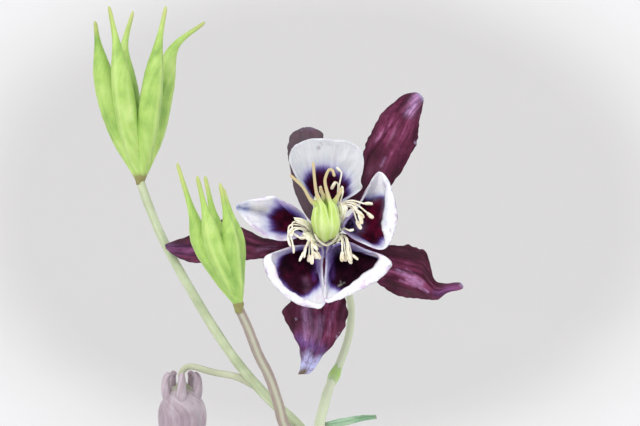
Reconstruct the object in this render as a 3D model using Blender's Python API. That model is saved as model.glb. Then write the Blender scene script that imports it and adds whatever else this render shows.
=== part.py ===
"""A cut columbine sprig in a plain glazed bottle vase.

The frame's origin is the middle of the vase's flat foot, with +Z up. The open bloom faces -Y.
Sizes are in millimetres here, and turn into metres when a mesh is made.
"""

import math

import bmesh
import bpy
import numpy as np

MM = 0.001

# Where the bloom is, and the eye that its outlines are given for
BLOOM = np.array([17.0, 0.0, 229.2])
EYE = np.array([16.0, -350.0, 233.0])

# Clearance between neighbouring pieces, and the thickness of petals and leaves
GAP = 0.35
BLADE_THICKNESS = 0.66
PETAL_THICKNESS = 0.7

# Vase, turned about the Z axis: outer radius and height, from the foot to the lip
VASE_OUTSIDE = ((23.0, 0.0), (25.2, 1.6), (29.6, 16.0), (31.0, 34.0), (28.4, 54.0), (20.5, 74.0),
                (12.6, 89.0), (9.9, 102.0), (10.3, 112.0), (11.6, 117.0))
VASE_INSIDE = ((10.4, 118.0), (8.6, 112.0), (7.2, 103.0), (9.7, 90.0), (17.4, 75.0), (25.2, 54.5),
               (27.9, 34.0), (26.6, 17.0), (22.6, 5.6), (20.0, 4.0))
VASE_SIDES = 36
WATER_TOP = 68.0
WATER_CLEARANCE = 0.38

# Main stem, from its cut end up to the fork above the lip
STEM_LEAN = 0.123
STEM_FOOT = np.array([-7.1, 0.0, 4.6])
STEM_RADIUS = 1.7
FORK = np.array([-1.8, -44.0, 0.0])

# Receptacle that carries the bloom, as radius and depth from its front to its back
RECEPTACLE = ((2.2, 2.4), (2.6, 2.8), (2.6, 5.4), (2.5, 8.0), (1.6, 9.6), (0.7, 10.4))

# Each route below is a list of points across, up and behind the bloom's middle, as the eye sees them
BLOOM_STALK = ((0.0, 0.0, 7.0), (0.0, -0.3, 13.0), (0.6, -2.6, 21.0), (2.6, -7.2, 25.0), (5.0, -13.6, 25.5),
               (4.9, -20.0, 22.0), (2.9, -26.4, 16.0), (0.8, -31.2, 11.0), (-0.9, -37.6, 5.0), FORK)
UPPER_POD_STALK = (FORK, (-5.4, -38.8, 0.4), (-12.1, -32.4, 1.0), (-18.7, -24.5, 1.8), (-25.2, -14.4, 2.6),
                   (-31.7, -2.9, 3.4), (-35.0, 4.6, 3.8), (-36.9, 10.0, 4.0))
LOWER_POD_STALK = (FORK, (-4.6, -42.4, -1.2), (-8.1, -38.6, -4.0), (-9.5, -33.8, -8.5), (-11.2, -28.8, -13.5),
                   (-13.4, -24.4, -19.0), (-15.5, -19.0, -26.0), (-17.1, -15.6, -31.0))
BUD_STALK = ((-13.5, -31.0, 1.1), (-17.5, -29.0, 3.6), (-22.5, -28.0, 8.0), (-26.8, -26.9, 11.8),
             (-28.6, -28.0, 13.0), (-28.6, -30.3, 13.2))
STALK_NODE = ((2.75, -26.7, 15.7), (1.9, -28.6, 13.8), (1.1, -30.5, 11.7))
STALK_NODE_RADII = (0.8, 1.25, 0.95)

# Sepals, as rows from base to tip: left edge, right edge, depth, and how far the middle bulges back
SEPALS = {
    "sepal_upper_right": (
        ((0.9, 3.1), (2.5, 2.0), 7.0, 0.0), ((4.0, 6.5), (5.7, 5.1), 6.6, 0.2),
        ((6.8, 10.4), (11.8, 7.6), 4.6, 0.8), ((7.5, 13.8), (14.2, 10.8), 3.4, 1.0),
        ((8.1, 17.6), (16.8, 14.8), 2.2, 1.3), ((10.0, 21.4), (18.5, 18.3), 1.2, 1.2),
        ((12.2, 24.6), (18.7, 21.0), 0.7, 0.9), ((15.3, 27.2), (19.2, 23.8), 0.2, 0.6),
        ((17.8, 27.9), (19.7, 26.1), 0.0, 0.2), ((19.0, 27.6), (19.6, 26.9), 0.0, 0.0)),
    "sepal_right": (
        ((3.1, -0.2), (2.6, -1.9), 7.0, 0.0), ((5.9, -0.9), (5.2, -2.9), 6.8, 0.2),
        ((9.6, -2.5), (7.4, -6.6), 5.2, 0.6), ((13.4, -2.7), (10.4, -10.1), 3.4, 1.1),
        ((17.4, -2.8), (14.4, -12.6), 2.2, 1.3), ((20.0, -4.0), (18.4, -13.3), 1.2, 1.1),
        ((21.1, -7.4), (21.0, -13.5), 0.6, 0.7), ((22.2, -9.7), (22.6, -13.5), 0.2, 0.3),
        ((24.2, -10.3), (24.4, -12.2), 0.0, 0.2), ((26.8, -10.1), (26.9, -11.6), 0.0, 0.1),
        ((27.7, -10.8), (27.6, -11.3), 0.0, 0.0)),
    "sepal_lower": (
        ((0.7, -2.9), (-0.9, -2.9), 7.0, 0.0), ((1.1, -5.4), (-1.2, -5.4), 6.8, 0.2),
        ((2.4, -9.6), (-3.2, -9.6), 5.4, 0.8), ((4.1, -14.0), (-7.0, -14.0), 3.4, 1.3),
        ((4.5, -16.6), (-8.5, -16.2), 2.4, 1.4), ((3.6, -19.6), (-7.0, -19.2), 1.4, 1.2),
        ((1.6, -22.4), (-5.8, -21.6), 0.8, 0.9), ((-0.5, -24.8), (-5.0, -24.2), 0.4, 0.5),
        ((-1.9, -27.0), (-4.9, -26.8), 0.1, 0.3), ((-3.0, -28.3), (-5.4, -28.5), 0.0, 0.1)),
    "sepal_left": (
        ((-2.7, -1.8), (-3.1, 0.0), 7.0, 0.0), ((-5.1, -3.2), (-5.9, -1.3), 6.8, 0.2),
        ((-8.6, -4.9), (-9.4, -1.5), 5.2, 0.5), ((-13.6, -5.4), (-13.4, -0.9), 3.4, 0.8),
        ((-19.0, -5.9), (-19.4, 2.5), 2.0, 1.2), ((-23.4, -6.1), (-23.0, 0.9), 1.4, 1.1),
        ((-26.7, -6.1), (-26.4, -0.4), 1.0, 0.8), ((-29.4, -5.1), (-28.9, -1.3), 0.5, 0.4),
        ((-31.8, -3.4), (-32.0, -2.5), 0.0, 0.0)),
    "sepal_back": (
        ((-2.6, 1.8), (-1.1, 2.9), 7.2, 0.0), ((-4.3, 4.2), (-2.5, 5.4), 8.6, -0.2),
        ((-6.0, 8.0), (-2.6, 9.4), 11.0, -0.5), ((-6.9, 12.6), (-1.8, 13.8), 15.0, -0.9),
        ((-7.5, 16.8), (-0.4, 17.6), 19.5, -1.2), ((-6.8, 19.4), (-0.6, 19.8), 23.5, -0.7),
        ((-4.7, 20.8), (-2.6, 20.9), 24.0, 0.0)),
}

# Petals: points round the mouth of each, from the point nearest the pistil, and the middle of its throat
PETALS = {
    "petal_upper": (
        ((0.1, 3.7, 1.7), (-2.2, 5.2, 0.8), (-4.5, 8.8, -1.0), (-6.6, 12.6, -2.2), (-7.2, 15.2, -2.7),
         (-5.8, 17.4, -3.2), (-2.6, 18.7, -3.5), (1.4, 18.5, -3.5), (5.2, 18.0, -3.2),
         (7.5, 15.8, -2.8), (7.65, 12.6, -2.4), (7.15, 10.4, -2.0), (7.5, 8.9, -1.5), (6.3, 7.7, -0.9),
         (4.4, 6.5, -0.2), (2.4, 5.0, 0.6)),
        (0.1, 4.65, 5.2)),
    "petal_right": (
        ((3.6, 1.2, 1.7), (5.0, -0.95, 0.6), (7.8, -2.45, -1.0), (10.9, -3.55, -2.0),
         (12.7, -2.7, -2.6), (14.0, 0.2, -3.6), (14.6, 3.2, -4.0), (13.8, 7.2, -4.0),
         (12.7, 10.4, -3.6), (11.0, 12.1, -3.2), (9.5, 10.8, -2.8), (8.2, 8.2, -2.0), (6.2, 4.9, -0.5)),
        (4.4, 1.5, 5.2)),
    "petal_lower_right": (
        ((1.35, -2.95, 1.6), (4.7, -2.0, 0.5), (8.0, -3.35, -1.0), (11.9, -4.75, -2.0),
         (13.4, -6.4, -2.5), (12.0, -8.5, -2.9), (9.6, -10.3, -3.4), (6.4, -12.0, -4.0),
         (3.0, -13.5, -4.5), (0.05, -14.0, -4.6), (-0.15, -10.4, -3.0), (0.12, -6.5, -1.0),
         (0.25, -4.6, 0.3)),
        (2.8, -3.7, 5.2)),
    "petal_lower_left": (
        ((-1.35, -2.95, 1.6), (-0.4, -4.6, 0.3), (-0.45, -7.0, -0.9), (-0.65, -10.4, -2.2),
         (-0.25, -13.9, -3.1), (-1.1, -15.25, -4.0), (-4.3, -14.9, -4.6), (-6.4, -14.0, -4.5),
         (-8.7, -12.3, -4.2), (-10.8, -10.0, -3.6), (-12.1, -7.4, -3.0), (-12.2, -5.1, -2.0),
         (-9.6, -3.8, -1.2), (-5.2, -2.6, 0.4)),
        (-2.8, -3.7, 5.2)),
    "petal_left": (
        ((-3.4, 1.0, 1.7), (-5.4, -1.1, 0.5), (-8.6, -1.8, -0.9), (-11.0, -1.3, -1.5),
         (-13.1, -0.2, -1.8), (-15.4, 1.8, -1.7), (-17.3, 4.0, -1.3), (-17.7, 5.2, -1.0),
         (-15.9, 6.3, -1.0), (-12.9, 6.9, -1.0), (-10.6, 7.3, -1.0), (-8.6, 6.4, -0.6),
         (-6.2, 5.2, -0.1), (-4.1, 3.4, 1.0)),
        (-4.5, 1.1, 5.2)),
}
THROAT_RADIUS = 1.55
SPUR_STEPS = ((1.1, 6.8, 1.25), (1.3, 10.0, 1.1), (1.42, 13.4, 1.0), (1.36, 16.2, 0.9), (1.12, 17.6, 0.85),
              (0.92, 17.2, 0.8))
PETAL_ROWS = 4

# Pistil: the middle line of its five joined carpels, then, from their root to their top, how far the middle
# of each is from that line and its radius, and the route of each style from a carpel's top
PISTIL_AXIS = ((0.1, 0.0, 1.6), (0.15, -0.1, -0.9), (0.3, 2.4, -3.5), (0.2, 5.4, -4.7))
CARPEL_SPREADS = (0.5, 0.65, 0.9, 1.2, 1.45, 1.55, 1.55)
CARPEL_RADII = (0.55, 0.8, 1.05, 1.35, 1.5, 1.15, 0.75)
CARPEL_TURNS = (162.0, 90.0, 18.0, -54.0, -126.0)
CARPEL_TWIST = 25.0
SHOULDER_RADIUS = 0.5
STYLE_RADIUS = 0.34
STYLES = (
    ((-2.45, 6.0, -4.9), (-3.3, 7.1, -5.2), (-4.15, 8.6, -5.6), (-5.3, 9.9, -6.0), (-7.0, 11.4, -6.4)),
    ((-1.1, 6.3, -6.0), (-1.7, 7.9, -6.1), (-2.05, 10.2, -6.1), (-2.4, 14.1, -6.2)),
    ((0.9, 6.3, -5.4), (0.3, 8.4, -5.3), (0.0, 10.4, -5.3), (0.7, 12.3, -5.4), (1.5, 12.3, -5.6),
     (1.9, 11.1, -5.9)),
    ((2.2, 6.5, -4.5), (2.9, 7.8, -4.8), (3.3, 8.9, -4.9)),
    ((-0.1, 6.9, -4.4), (-0.6, 7.9, -4.7), (-0.9, 9.1, -4.9)),
)

# Stamens: the bearing of each root on the ring, the bends of its filament, and both ends of its anther.
# A filament first rises from the ring by its reach outwards and forwards.
STAMEN_RING = ((2.85, 1.5), (2.85, 2.05), (2.15, 2.05), (2.15, 1.5))
STAMEN_ROOT = (2.5, 1.8)
STAMENS = (
    (222.0, ((-3.0, -1.9),), (-4.24, -3.94), (-5.12, -5.84)),
    (228.0, ((-3.1, -1.6),), (-3.86, -2.92), (-4.22, -5.12)),
    (234.0, ((-2.9, -2.2),), (-3.2, -4.52), (-3.28, -6.0)),
    (240.0, ((-2.6, -2.2),), (-2.54, -4.52), (-2.6, -6.44)),
    (246.0, ((-2.5, -2.0),), (-2.4, -3.94), (-1.66, -5.4)),
    (252.0, ((-2.0, -2.4),), (-1.52, -4.08), (-0.92, -5.4)),
    (216.0, ((-2.8, -1.4),), (-2.54, -2.32), (-1.52, -3.64)),
    (190.0, ((-4.6, 1.2), (-7.0, 1.3)), (-7.4, -0.86), (-6.8, -2.92)),
    (196.0, ((-4.4, 0.7), (-6.9, 0.5)), (-6.44, -2.48), (-6.28, -4.24)),
    (204.0, ((-4.8, 0.6), (-6.5, 0.0)), (-5.0, -1.2), (-3.9, -1.1)),
    (182.0, ((-4.4, 1.9), (-6.4, 1.9)), (-6.5, 0.3), (-6.9, -0.9)),
    (338.0, ((3.3, -0.9),), (3.48, -3.94), (3.4, -5.92)),
    (342.0, ((3.6, -1.4),), (4.14, -4.68), (4.06, -5.86)),
    (346.0, ((4.1, -1.1),), (4.5, -4.8), (5.3, -6.36)),
    (350.0, ((4.4, -1.3),), (4.7, -3.6), (5.3, -5.8)),
    (354.0, ((4.6, -1.9),), (5.3, -4.52), (6.62, -5.56)),
    (2.0, ((3.8, 0.7),), (4.8, 0.3), (5.72, 0.48)),
    (30.0, ((3.2, 5.4), (5.2, 6.3)), (7.88, 5.66), (9.56, 5.6)),
    (36.0, ((3.4, 5.2), (5.6, 5.9)), (8.46, 3.84), (9.7, 2.8)),
    (42.0, ((3.2, 4.9), (5.2, 5.4)), (6.26, 4.28), (7.72, 2.8)),
    (24.0, ((3.4, 4.5), (5.3, 4.9)), (6.4, 2.22), (7.28, 0.6)),
    (48.0, ((3.2, 5.3), (5.6, 5.7)), (6.74, 3.6), (7.36, 1.6)),
    (70.0, ((2.3, 6.3), (2.6, 9.4)), (2.14, 10.0), (1.28, 8.54)),
    (62.0, ((2.6, 6.2), (2.8, 9.0), (3.3, 11.6)), (3.1, 12.2), (2.3, 12.9)),
    (54.0, ((3.0, 5.8),), (3.5, 7.6), (3.4, 9.2)),
    (110.0, ((-0.4, 5.6),), (-0.7, 7.6), (-0.92, 9.2)),
)
FILAMENT_RISE = (0.55, -1.5)
FILAMENT_RADIUS = 0.3
ANTHER_RADIUS = 0.55
STAMEN_DEPTH = -3.0

# Seed heads: the route of each follicle, from the stalk's tip to the end of its beak
POD_RADII = (0.9, 2.2, 2.5, 2.1, 0.8, 0.34)
UPPER_POD_GIRTH = 0.9
UPPER_POD = (
    ((-37.3, 10.9, 4.0), (-41.1, 20.4, 3.2), (-43.6, 28.4, 2.4), (-45.2, 36.4, 1.6),
     (-46.0, 42.2, 1.0)),
    ((-37.1, 10.9, 4.0), (-39.2, 20.4, 1.2), (-40.5, 28.4, -0.2), (-41.6, 37.0, -0.8),
     (-43.2, 45.2, -0.8)),
    ((-36.8, 10.9, 4.0), (-35.6, 20.4, 1.6), (-34.6, 28.4, 0.6), (-33.4, 37.0, 0.1),
     (-31.8, 45.2, -0.4)),
    ((-36.6, 10.9, 4.0), (-34.0, 20.4, 5.9), (-32.3, 28.8, 6.8), (-30.2, 36.8, 7.3),
     (-24.0, 42.0, 7.8)),
    ((-36.9, 10.9, 4.0), (-38.2, 20.4, 7.0), (-39.4, 28.4, 8.9), (-40.2, 36.4, 9.8),
     (-38.4, 44.2, 10.4)),
)
LOWER_POD_GIRTH = 0.76
LOWER_POD = (
    ((-17.4, -14.5, -31.8), (-20.6, -8.4, -32.4), (-24.4, -2.4, -32.9), (-26.4, 3.6, -33.3),
     (-29.6, 13.8, -33.8)),
    ((-17.3, -14.5, -31.8), (-19.6, -8.4, -33.8), (-22.2, -2.4, -35.2), (-23.8, 3.8, -35.7),
     (-25.6, 11.2, -36.2)),
    ((-17.2, -14.5, -31.8), (-18.2, -8.4, -33.5), (-18.8, -2.4, -34.4), (-19.6, 2.8, -34.8),
     (-21.0, 9.8, -35.2)),
    ((-17.2, -14.5, -31.8), (-18.0, -8.4, -30.6), (-17.9, -2.4, -29.6), (-18.8, 2.8, -29.1),
     (-20.4, 8.8, -28.8)),
    ((-17.3, -14.5, -31.8), (-19.4, -8.4, -30.0), (-21.0, -2.4, -28.4), (-22.4, 3.6, -27.8),
     (-24.0, 11.2, -27.3)),
)

# Nodding bud: radii down its length from the top, and its five short spurs
BUD_TOP = (-28.6, -30.65, 13.2)
BUD_LENGTH = 17.0
BUD_RADII = (1.6, 4.0, 5.0, 5.0, 4.3, 3.0, 1.2)
BUD_SPUR_RISE = 1.6
BUD_SPUR_TURN = 58.0

# Bract at the bloom's stalk, as rows like the sepals' rows
BRACT = (((0.8, -37.9), (0.7, -39.1), 5.4, 0.0), ((4.0, -37.1), (4.0, -38.7), 5.8, 0.2),
         ((7.4, -36.5), (7.4, -37.9), 6.2, 0.2), ((10.2, -36.6), (10.3, -37.3), 6.6, 0.0))


def clear_scene():
    for obj in list(bpy.data.objects):
        bpy.data.objects.remove(obj, do_unlink=True)


def seen(point):
    """World place of a point that shows across, up and behind the bloom's middle as the eye sees it."""
    across, up, behind = point
    on_plane = BLOOM + np.array([across, 0.0, up])
    return EYE + (on_plane - EYE) * (behind - EYE[1]) / -EYE[1]


def curve(points, count, closed=False):
    """Smooth curve through the points, as evenly many samples along each stretch."""
    points = np.asarray(points, float)
    stretches = len(points) if closed else len(points) - 1
    if closed:
        padded = np.vstack([points[-1:], points, points[:2]])
    else:
        padded = np.vstack([2 * points[0] - points[1], points, 2 * points[-1] - points[-2]])
    places = np.linspace(0.0, stretches, count, endpoint=not closed)
    samples = []
    for place in places:
        first = min(int(place), stretches - 1)
        t = place - first
        p0, p1, p2, p3 = padded[first:first + 4]
        samples.append(0.5 * (2 * p1 + (p2 - p0) * t + (2 * p0 - 5 * p1 + 4 * p2 - p3) * t ** 2
                              + (3 * p1 - p0 - 3 * p2 + p3) * t ** 3))
    return np.array(samples)


def unit(vector):
    return vector / max(np.linalg.norm(vector), 1e-9)


def rings_along(route, radii, angles, start_side=(1.0, 0.0, 0.0)):
    """Rings of points round a route, turned with it without twisting."""
    tangents = np.gradient(route, axis=0)
    side = np.array(start_side, float)
    rings = []
    for centre, tangent, radius in zip(route, tangents, radii):
        along = unit(tangent)
        side = unit(side - along * np.dot(side, along))
        other = np.cross(along, side)
        rings.append([centre + radius * (math.cos(a) * side + math.sin(a) * other) for a in angles])
    return rings


def round_angles(sides):
    return [2 * math.pi * k / sides for k in range(sides)]


def tube(points, radii, samples, sides):
    """Rings of a round tube through the points, with its radius eased through the radii."""
    route = curve(points, samples)
    eased = curve(np.array(radii, float)[:, None], samples)[:, 0]
    side = (0.0, 1.0, 0.0) if abs(unit(route[1] - route[0])[1]) < 0.7 else (1.0, 0.0, 0.0)
    return rings_along(route, eased, round_angles(sides), side)


def new_object(name, points, faces, material):
    mesh = bpy.data.meshes.new(name)
    mesh.from_pydata([tuple(float(c) * MM for c in p) for p in points], [], faces)
    body = bmesh.new()
    body.from_mesh(mesh)
    bmesh.ops.recalc_face_normals(body, faces=body.faces)
    body.to_mesh(mesh)
    body.free()
    mesh.materials.append(material)
    mesh.shade_smooth()
    mesh.set_sharp_from_angle(angle=math.radians(50))
    obj = bpy.data.objects.new(name, mesh)
    bpy.context.scene.collection.objects.link(obj)
    return obj


def skin(name, rings, material):
    """Closed body over rings with the same number of points, capped at both ends."""
    around = len(rings[0])
    faces = []
    for i in range(len(rings) - 1):
        for j in range(around):
            a = i * around + j
            b = i * around + (j + 1) % around
            faces.append((a, b, b + around))
            faces.append((a, b + around, a + around))
    faces.append(tuple(range(around)))
    last = (len(rings) - 1) * around
    faces.append(tuple(range(last + around - 1, last - 1, -1)))
    return new_object(name, [p for ring in rings for p in ring], faces, material)


def surface_normals(grid):
    along = np.gradient(grid, axis=0)
    across = np.gradient(grid, axis=1)
    normals = np.cross(along, across)
    return normals / np.maximum(np.linalg.norm(normals, axis=2, keepdims=True), 1e-9)


def leaf_grid(rows, length_count, width_count):
    """Middle surface of a sepal or leaf, spread between its two edges."""
    left = [seen((*row[0], row[2])) for row in rows]
    right = [seen((*row[1], row[2])) for row in rows]
    bulge = [[row[3]] for row in rows]
    left = curve(left, length_count)
    right = curve(right, length_count)
    bulge = curve(bulge, length_count)
    grid = np.zeros((length_count, width_count, 3))
    for j in range(width_count):
        s = j / (width_count - 1)
        grid[:, j] = left * (1 - s) + right * s
        grid[:, j, 1] += bulge[:, 0] * 4 * s * (1 - s)
    return grid


def leaf(name, rows, material, length_count=14, width_count=6):
    """Thin body on both sides of a leaf's middle surface, split into triangles alike on both faces."""
    grid = leaf_grid(rows, length_count, width_count)
    lift = surface_normals(grid) * BLADE_THICKNESS / 2
    points = [p for side in (grid + lift, grid - lift) for row in side for p in row]
    under = length_count * width_count
    faces = []
    for i in range(length_count - 1):
        for j in range(width_count - 1):
            a = i * width_count + j
            b = a + 1
            c = a + width_count
            d = c + 1
            faces += [(a, b, d), (a, d, c)]
            faces += [(under + a, under + d, under + b), (under + a, under + c, under + d)]
    edge = list(range(width_count))
    edge += [i * width_count + width_count - 1 for i in range(1, length_count)]
    edge += [(length_count - 1) * width_count + j for j in range(width_count - 2, -1, -1)]
    edge += [i * width_count for i in range(length_count - 2, 0, -1)]
    for a, b in zip(edge, edge[1:] + edge[:1]):
        faces.append((a, under + a, under + b))
        faces.append((a, under + b, b))
    return new_object(name, points, faces, material)


def petal(name, mouth, throat, material):
    """Cup with its mouth towards the eye, narrowed to a throat and drawn out into a hooked spur."""
    around = 2 * len(mouth)
    rim = curve([seen(p) for p in mouth], around, closed=True)
    middle = seen(throat)
    angles = [math.atan2(p[2] - middle[2], p[0] - middle[0]) for p in rim]
    base = np.array([middle + THROAT_RADIUS * np.array([math.cos(a), 0.0, math.sin(a)]) for a in angles])
    outside = np.zeros((PETAL_ROWS, around, 3))
    for i in range(PETAL_ROWS):
        s = i / (PETAL_ROWS - 1)
        outside[i] = rim * (1 - s) + base * s
        outside[i, :, 1] = rim[:, 1] * (1 - s ** 0.8) + base[:, 1] * s ** 0.8
    wrapped = np.concatenate([outside[:, -1:], outside, outside[:, :1]], axis=1)
    normals = surface_normals(wrapped)[:, 1:-1]
    inward = np.sign(np.sum(normals[0] * (middle - rim)))
    inside = outside + normals * inward * PETAL_THICKNESS
    heading = unit(np.array([throat[0], 0.0, throat[1]]))
    reach = math.hypot(throat[0], throat[1])
    spur = [middle]
    radii = [THROAT_RADIUS]
    for spread, depth, radius in SPUR_STEPS:
        spur.append(BLOOM + heading * reach * spread + np.array([0.0, depth, 0.0]))
        radii.append(radius)
    spur_rings = rings_along(np.array(spur), radii, [-a for a in angles])[1:]
    rings = spur_rings[::-1] + list(outside[::-1]) + list(inside)
    return skin(name, rings, material)


def fuse(name, bodies, material):
    """One body from several that reach into each other, by a Boolean union on their collection."""
    group = bpy.data.collections.new(name + "_parts")
    bpy.context.scene.collection.children.link(group)
    for body in bodies[1:]:
        group.objects.link(body)
        bpy.context.scene.collection.objects.unlink(body)
    whole = bodies[0]
    union = whole.modifiers.new("Union", "BOOLEAN")
    union.operation = "UNION"
    union.operand_type = "COLLECTION"
    union.collection = group
    union.solver = "MANIFOLD"
    evaluated = whole.evaluated_get(bpy.context.evaluated_depsgraph_get())
    mesh = bpy.data.meshes.new_from_object(evaluated)
    whole.modifiers.clear()
    whole.data = mesh
    mesh.materials.clear()
    mesh.materials.append(material)
    for body in list(group.objects):
        bpy.data.objects.remove(body, do_unlink=True)
    bpy.data.collections.remove(group)
    whole.name = name
    return whole


def turned(name, profile, material, sides=VASE_SIDES):
    """Body of revolution about the Z axis from a list of radius and height, closed on the axis."""
    rings = [[(r * math.cos(a), r * math.sin(a), z) for a in round_angles(sides)] for r, z in profile]
    return skin(name, rings, material)


def paint(name, colour, roughness):
    """Plain material from a display colour of 0 to 255 a channel."""
    material = bpy.data.materials.new(name)
    material.use_nodes = True
    shader = material.node_tree.nodes["Principled BSDF"]
    linear = [(c / 255 / 12.92) if c <= 10 else ((c / 255 + 0.055) / 1.055) ** 2.4 for c in colour]
    shader.inputs["Base Color"].default_value = (*linear, 1.0)
    shader.inputs["Roughness"].default_value = roughness
    shader.inputs["Metallic"].default_value = 0.0
    return material


def vase_inside():
    return curve(VASE_INSIDE, 13)


def make_vase():
    profile = list(curve(VASE_OUTSIDE, 15)) + list(vase_inside())
    turned("vase", profile, paint("glaze", (236, 233, 226), 0.15))


def stem_point(height):
    return STEM_FOOT + np.array([STEM_LEAN, 0.0, 1.0]) * (height - STEM_FOOT[2])


def make_water():
    """Water that fills the vase to its level, with a plain hole for the stem."""
    wall = vase_inside()[::-1]
    level = np.interp(WATER_TOP, wall[:, 1], wall[:, 0])
    wall = np.vstack([wall[wall[:, 1] < WATER_TOP], (level, WATER_TOP)])
    slope = np.gradient(wall, axis=0)
    inward = np.stack([-slope[:, 1], slope[:, 0]], axis=1) / np.linalg.norm(slope, axis=1, keepdims=True)
    profile = wall + inward * WATER_CLEARANCE
    water = turned("water", profile, paint("water", (226, 234, 236), 0.05))
    hole_points = [stem_point(0.0), stem_point(WATER_TOP + 5.0)]
    hole = skin("stem_hole", tube(hole_points, (STEM_RADIUS + GAP,) * 2, 2, 16), water.active_material)
    cut = water.modifiers.new("Hole", "BOOLEAN")
    cut.operation = "DIFFERENCE"
    cut.object = hole
    hole.hide_render = True
    hole.display_type = "WIRE"


def make_stem():
    """The whole green sprig: main stem, its branches, the receptacle and the swollen node."""
    green = paint("stem_green", (150, 165, 120), 0.55)
    fork = seen(FORK)
    main = [stem_point(h) for h in (STEM_FOOT[2], 60.0, 104.0, 140.0)] + [fork + np.array([-1.4, 0.0, -12.0])]
    main += [fork + np.array([0.05, 0.0, 0.6])]
    radii = (STEM_RADIUS, STEM_RADIUS, STEM_RADIUS, 1.65, 1.55, 1.5)
    parts = [skin("main_stem", tube(main, radii, 12, 10), green)]
    stalks = ((BLOOM_STALK, (0.8, 0.75, 0.8, 1.0, 1.1), 22), (UPPER_POD_STALK, (1.2, 1.0, 0.9, 0.85), 14),
              (LOWER_POD_STALK, (1.25, 1.1, 1.0, 0.85), 12), (BUD_STALK, (0.8, 0.7, 0.65, 0.65), 10))
    for k, (route, radii, samples) in enumerate(stalks):
        points = [seen(p) for p in route]
        parts.append(skin("stalk_%d" % k, tube(points, radii, samples, 8), green))
    rings = [[BLOOM + np.array([r * math.cos(a), depth, r * math.sin(a)]) for a in round_angles(16)]
             for r, depth in RECEPTACLE]
    parts.append(skin("receptacle", rings, green))
    node = [seen(p) for p in STALK_NODE]
    parts.append(skin("swollen_node", tube(node, STALK_NODE_RADII, 5, 10), green))
    fuse("stem", parts, green)


def make_sepals():
    maroon = paint("sepal_maroon", (111, 60, 80), 0.5)
    for name, rows in SEPALS.items():
        leaf(name, rows, maroon)


def make_petals():
    dark = paint("petal_dark", (60, 22, 40), 0.5)
    for name, (mouth, throat) in PETALS.items():
        petal(name, mouth, throat, dark)


def make_pistil():
    lime = paint("pistil_lime", (205, 225, 140), 0.45)
    axis = np.array([seen(p) for p in PISTIL_AXIS])
    line = curve(axis, len(CARPEL_SPREADS))
    tangents = np.gradient(line, axis=0)
    parts = []
    for k, (turn, style) in enumerate(zip(CARPEL_TURNS, STYLES)):
        route = []
        radii = list(CARPEL_RADII)
        for row, (place, tangent, spread) in enumerate(zip(line, tangents, CARPEL_SPREADS)):
            along = unit(tangent)
            right = np.array([1.0, 0.0, 0.0])
            up = np.cross(right, along)
            bearing = math.radians(turn + CARPEL_TWIST * row / (len(line) - 1))
            route.append(place + spread * (math.cos(bearing) * right + math.sin(bearing) * up))
        route += [seen(p) for p in style]
        radii += [SHOULDER_RADIUS, STYLE_RADIUS + 0.08] + [STYLE_RADIUS] * (len(style) - 2)
        parts.append(skin("carpel_%d" % k, tube(route, radii, len(route) + 5, 8), lime))
    fuse("pistil", parts, lime)


def make_stamens():
    """Ring round the pistil's base, and the withered stamens that arch from it and hang."""
    cream = paint("stamen_cream", (235, 228, 195), 0.6)
    sides = 24
    points = [BLOOM + np.array([r * math.cos(a), d, r * math.sin(a)]) for a in round_angles(sides)
              for r, d in STAMEN_RING]
    faces = [(4 * j + k, 4 * j + (k + 1) % 4, 4 * ((j + 1) % sides) + (k + 1) % 4, 4 * ((j + 1) % sides) + k)
             for j in range(sides) for k in range(4)]
    parts = [new_object("stamen_ring", points, faces, cream)]
    for k, (bearing, bends, start, end) in enumerate(STAMENS):
        a = math.radians(bearing)
        out = np.array([math.cos(a), 0.0, math.sin(a)])
        root = BLOOM + STAMEN_ROOT[0] * out + np.array([0.0, STAMEN_ROOT[1], 0.0])
        depth = STAMEN_DEPTH - 0.5 * math.sin(2.4 * k)
        route = [root, root + FILAMENT_RISE[0] * out + np.array([0.0, FILAMENT_RISE[1], 0.0])]
        route += [seen((*bend, depth * (0.55 + 0.2 * j))) for j, bend in enumerate(bends)]
        route += [seen((*start, depth)), seen((*end, depth))]
        radii = [FILAMENT_RADIUS] * (len(route) - 2) + [ANTHER_RADIUS, ANTHER_RADIUS - 0.1]
        parts.append(skin("stamen_%d" % k, tube(route, radii, 2 * len(route) - 2, 3), cream))
    fuse("stamens", parts, cream)


def make_pods():
    green = paint("pod_green", (196, 218, 136), 0.5)
    pods = (("pod_upper", UPPER_POD, UPPER_POD_GIRTH), ("pod_lower", LOWER_POD, LOWER_POD_GIRTH))
    for name, follicles, girth in pods:
        parts = []
        for k, follicle in enumerate(follicles):
            route = [seen(p) for p in follicle]
            radii = [r * girth for r in POD_RADII]
            radii[-1] = POD_RADII[-1]
            parts.append(skin("follicle_%d" % k, tube(route, radii, 12, 9), green))
        fuse(name, parts, green)


def make_bud():
    """Closed nodding bud: a tapered body that hangs from its stalk, with five short spurs above."""
    mauve = paint("bud_mauve", (150, 118, 132), 0.55)
    top = seen(BUD_TOP)
    fall = [top + np.array([0.0, 0.0, -BUD_LENGTH * k / 6]) for k in range(7)]
    parts = [skin("bud_body", tube(fall, BUD_RADII, 10, 12), mauve)]
    for k in range(5):
        a = math.radians(72.0 * k + BUD_SPUR_TURN)
        out = np.array([math.cos(a), math.sin(a), 0.0])
        up = np.array([0.0, 0.0, 1.0])
        route = [top + out * 2.6 - up * 3.6, top + out * 3.4 - up * 1.0, top + out * 3.4 + up * BUD_SPUR_RISE,
                 top + out * 2.5 + up * (BUD_SPUR_RISE + 1.0)]
        parts.append(skin("bud_spur_%d" % k, tube(route, (1.3, 1.0, 0.75, 0.6), 6, 6), mauve))
    fuse("bud", parts, mauve)


def make_bract():
    leaf("bract", BRACT, paint("bract_green", (118, 160, 126), 0.55), 10, 4)


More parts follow.
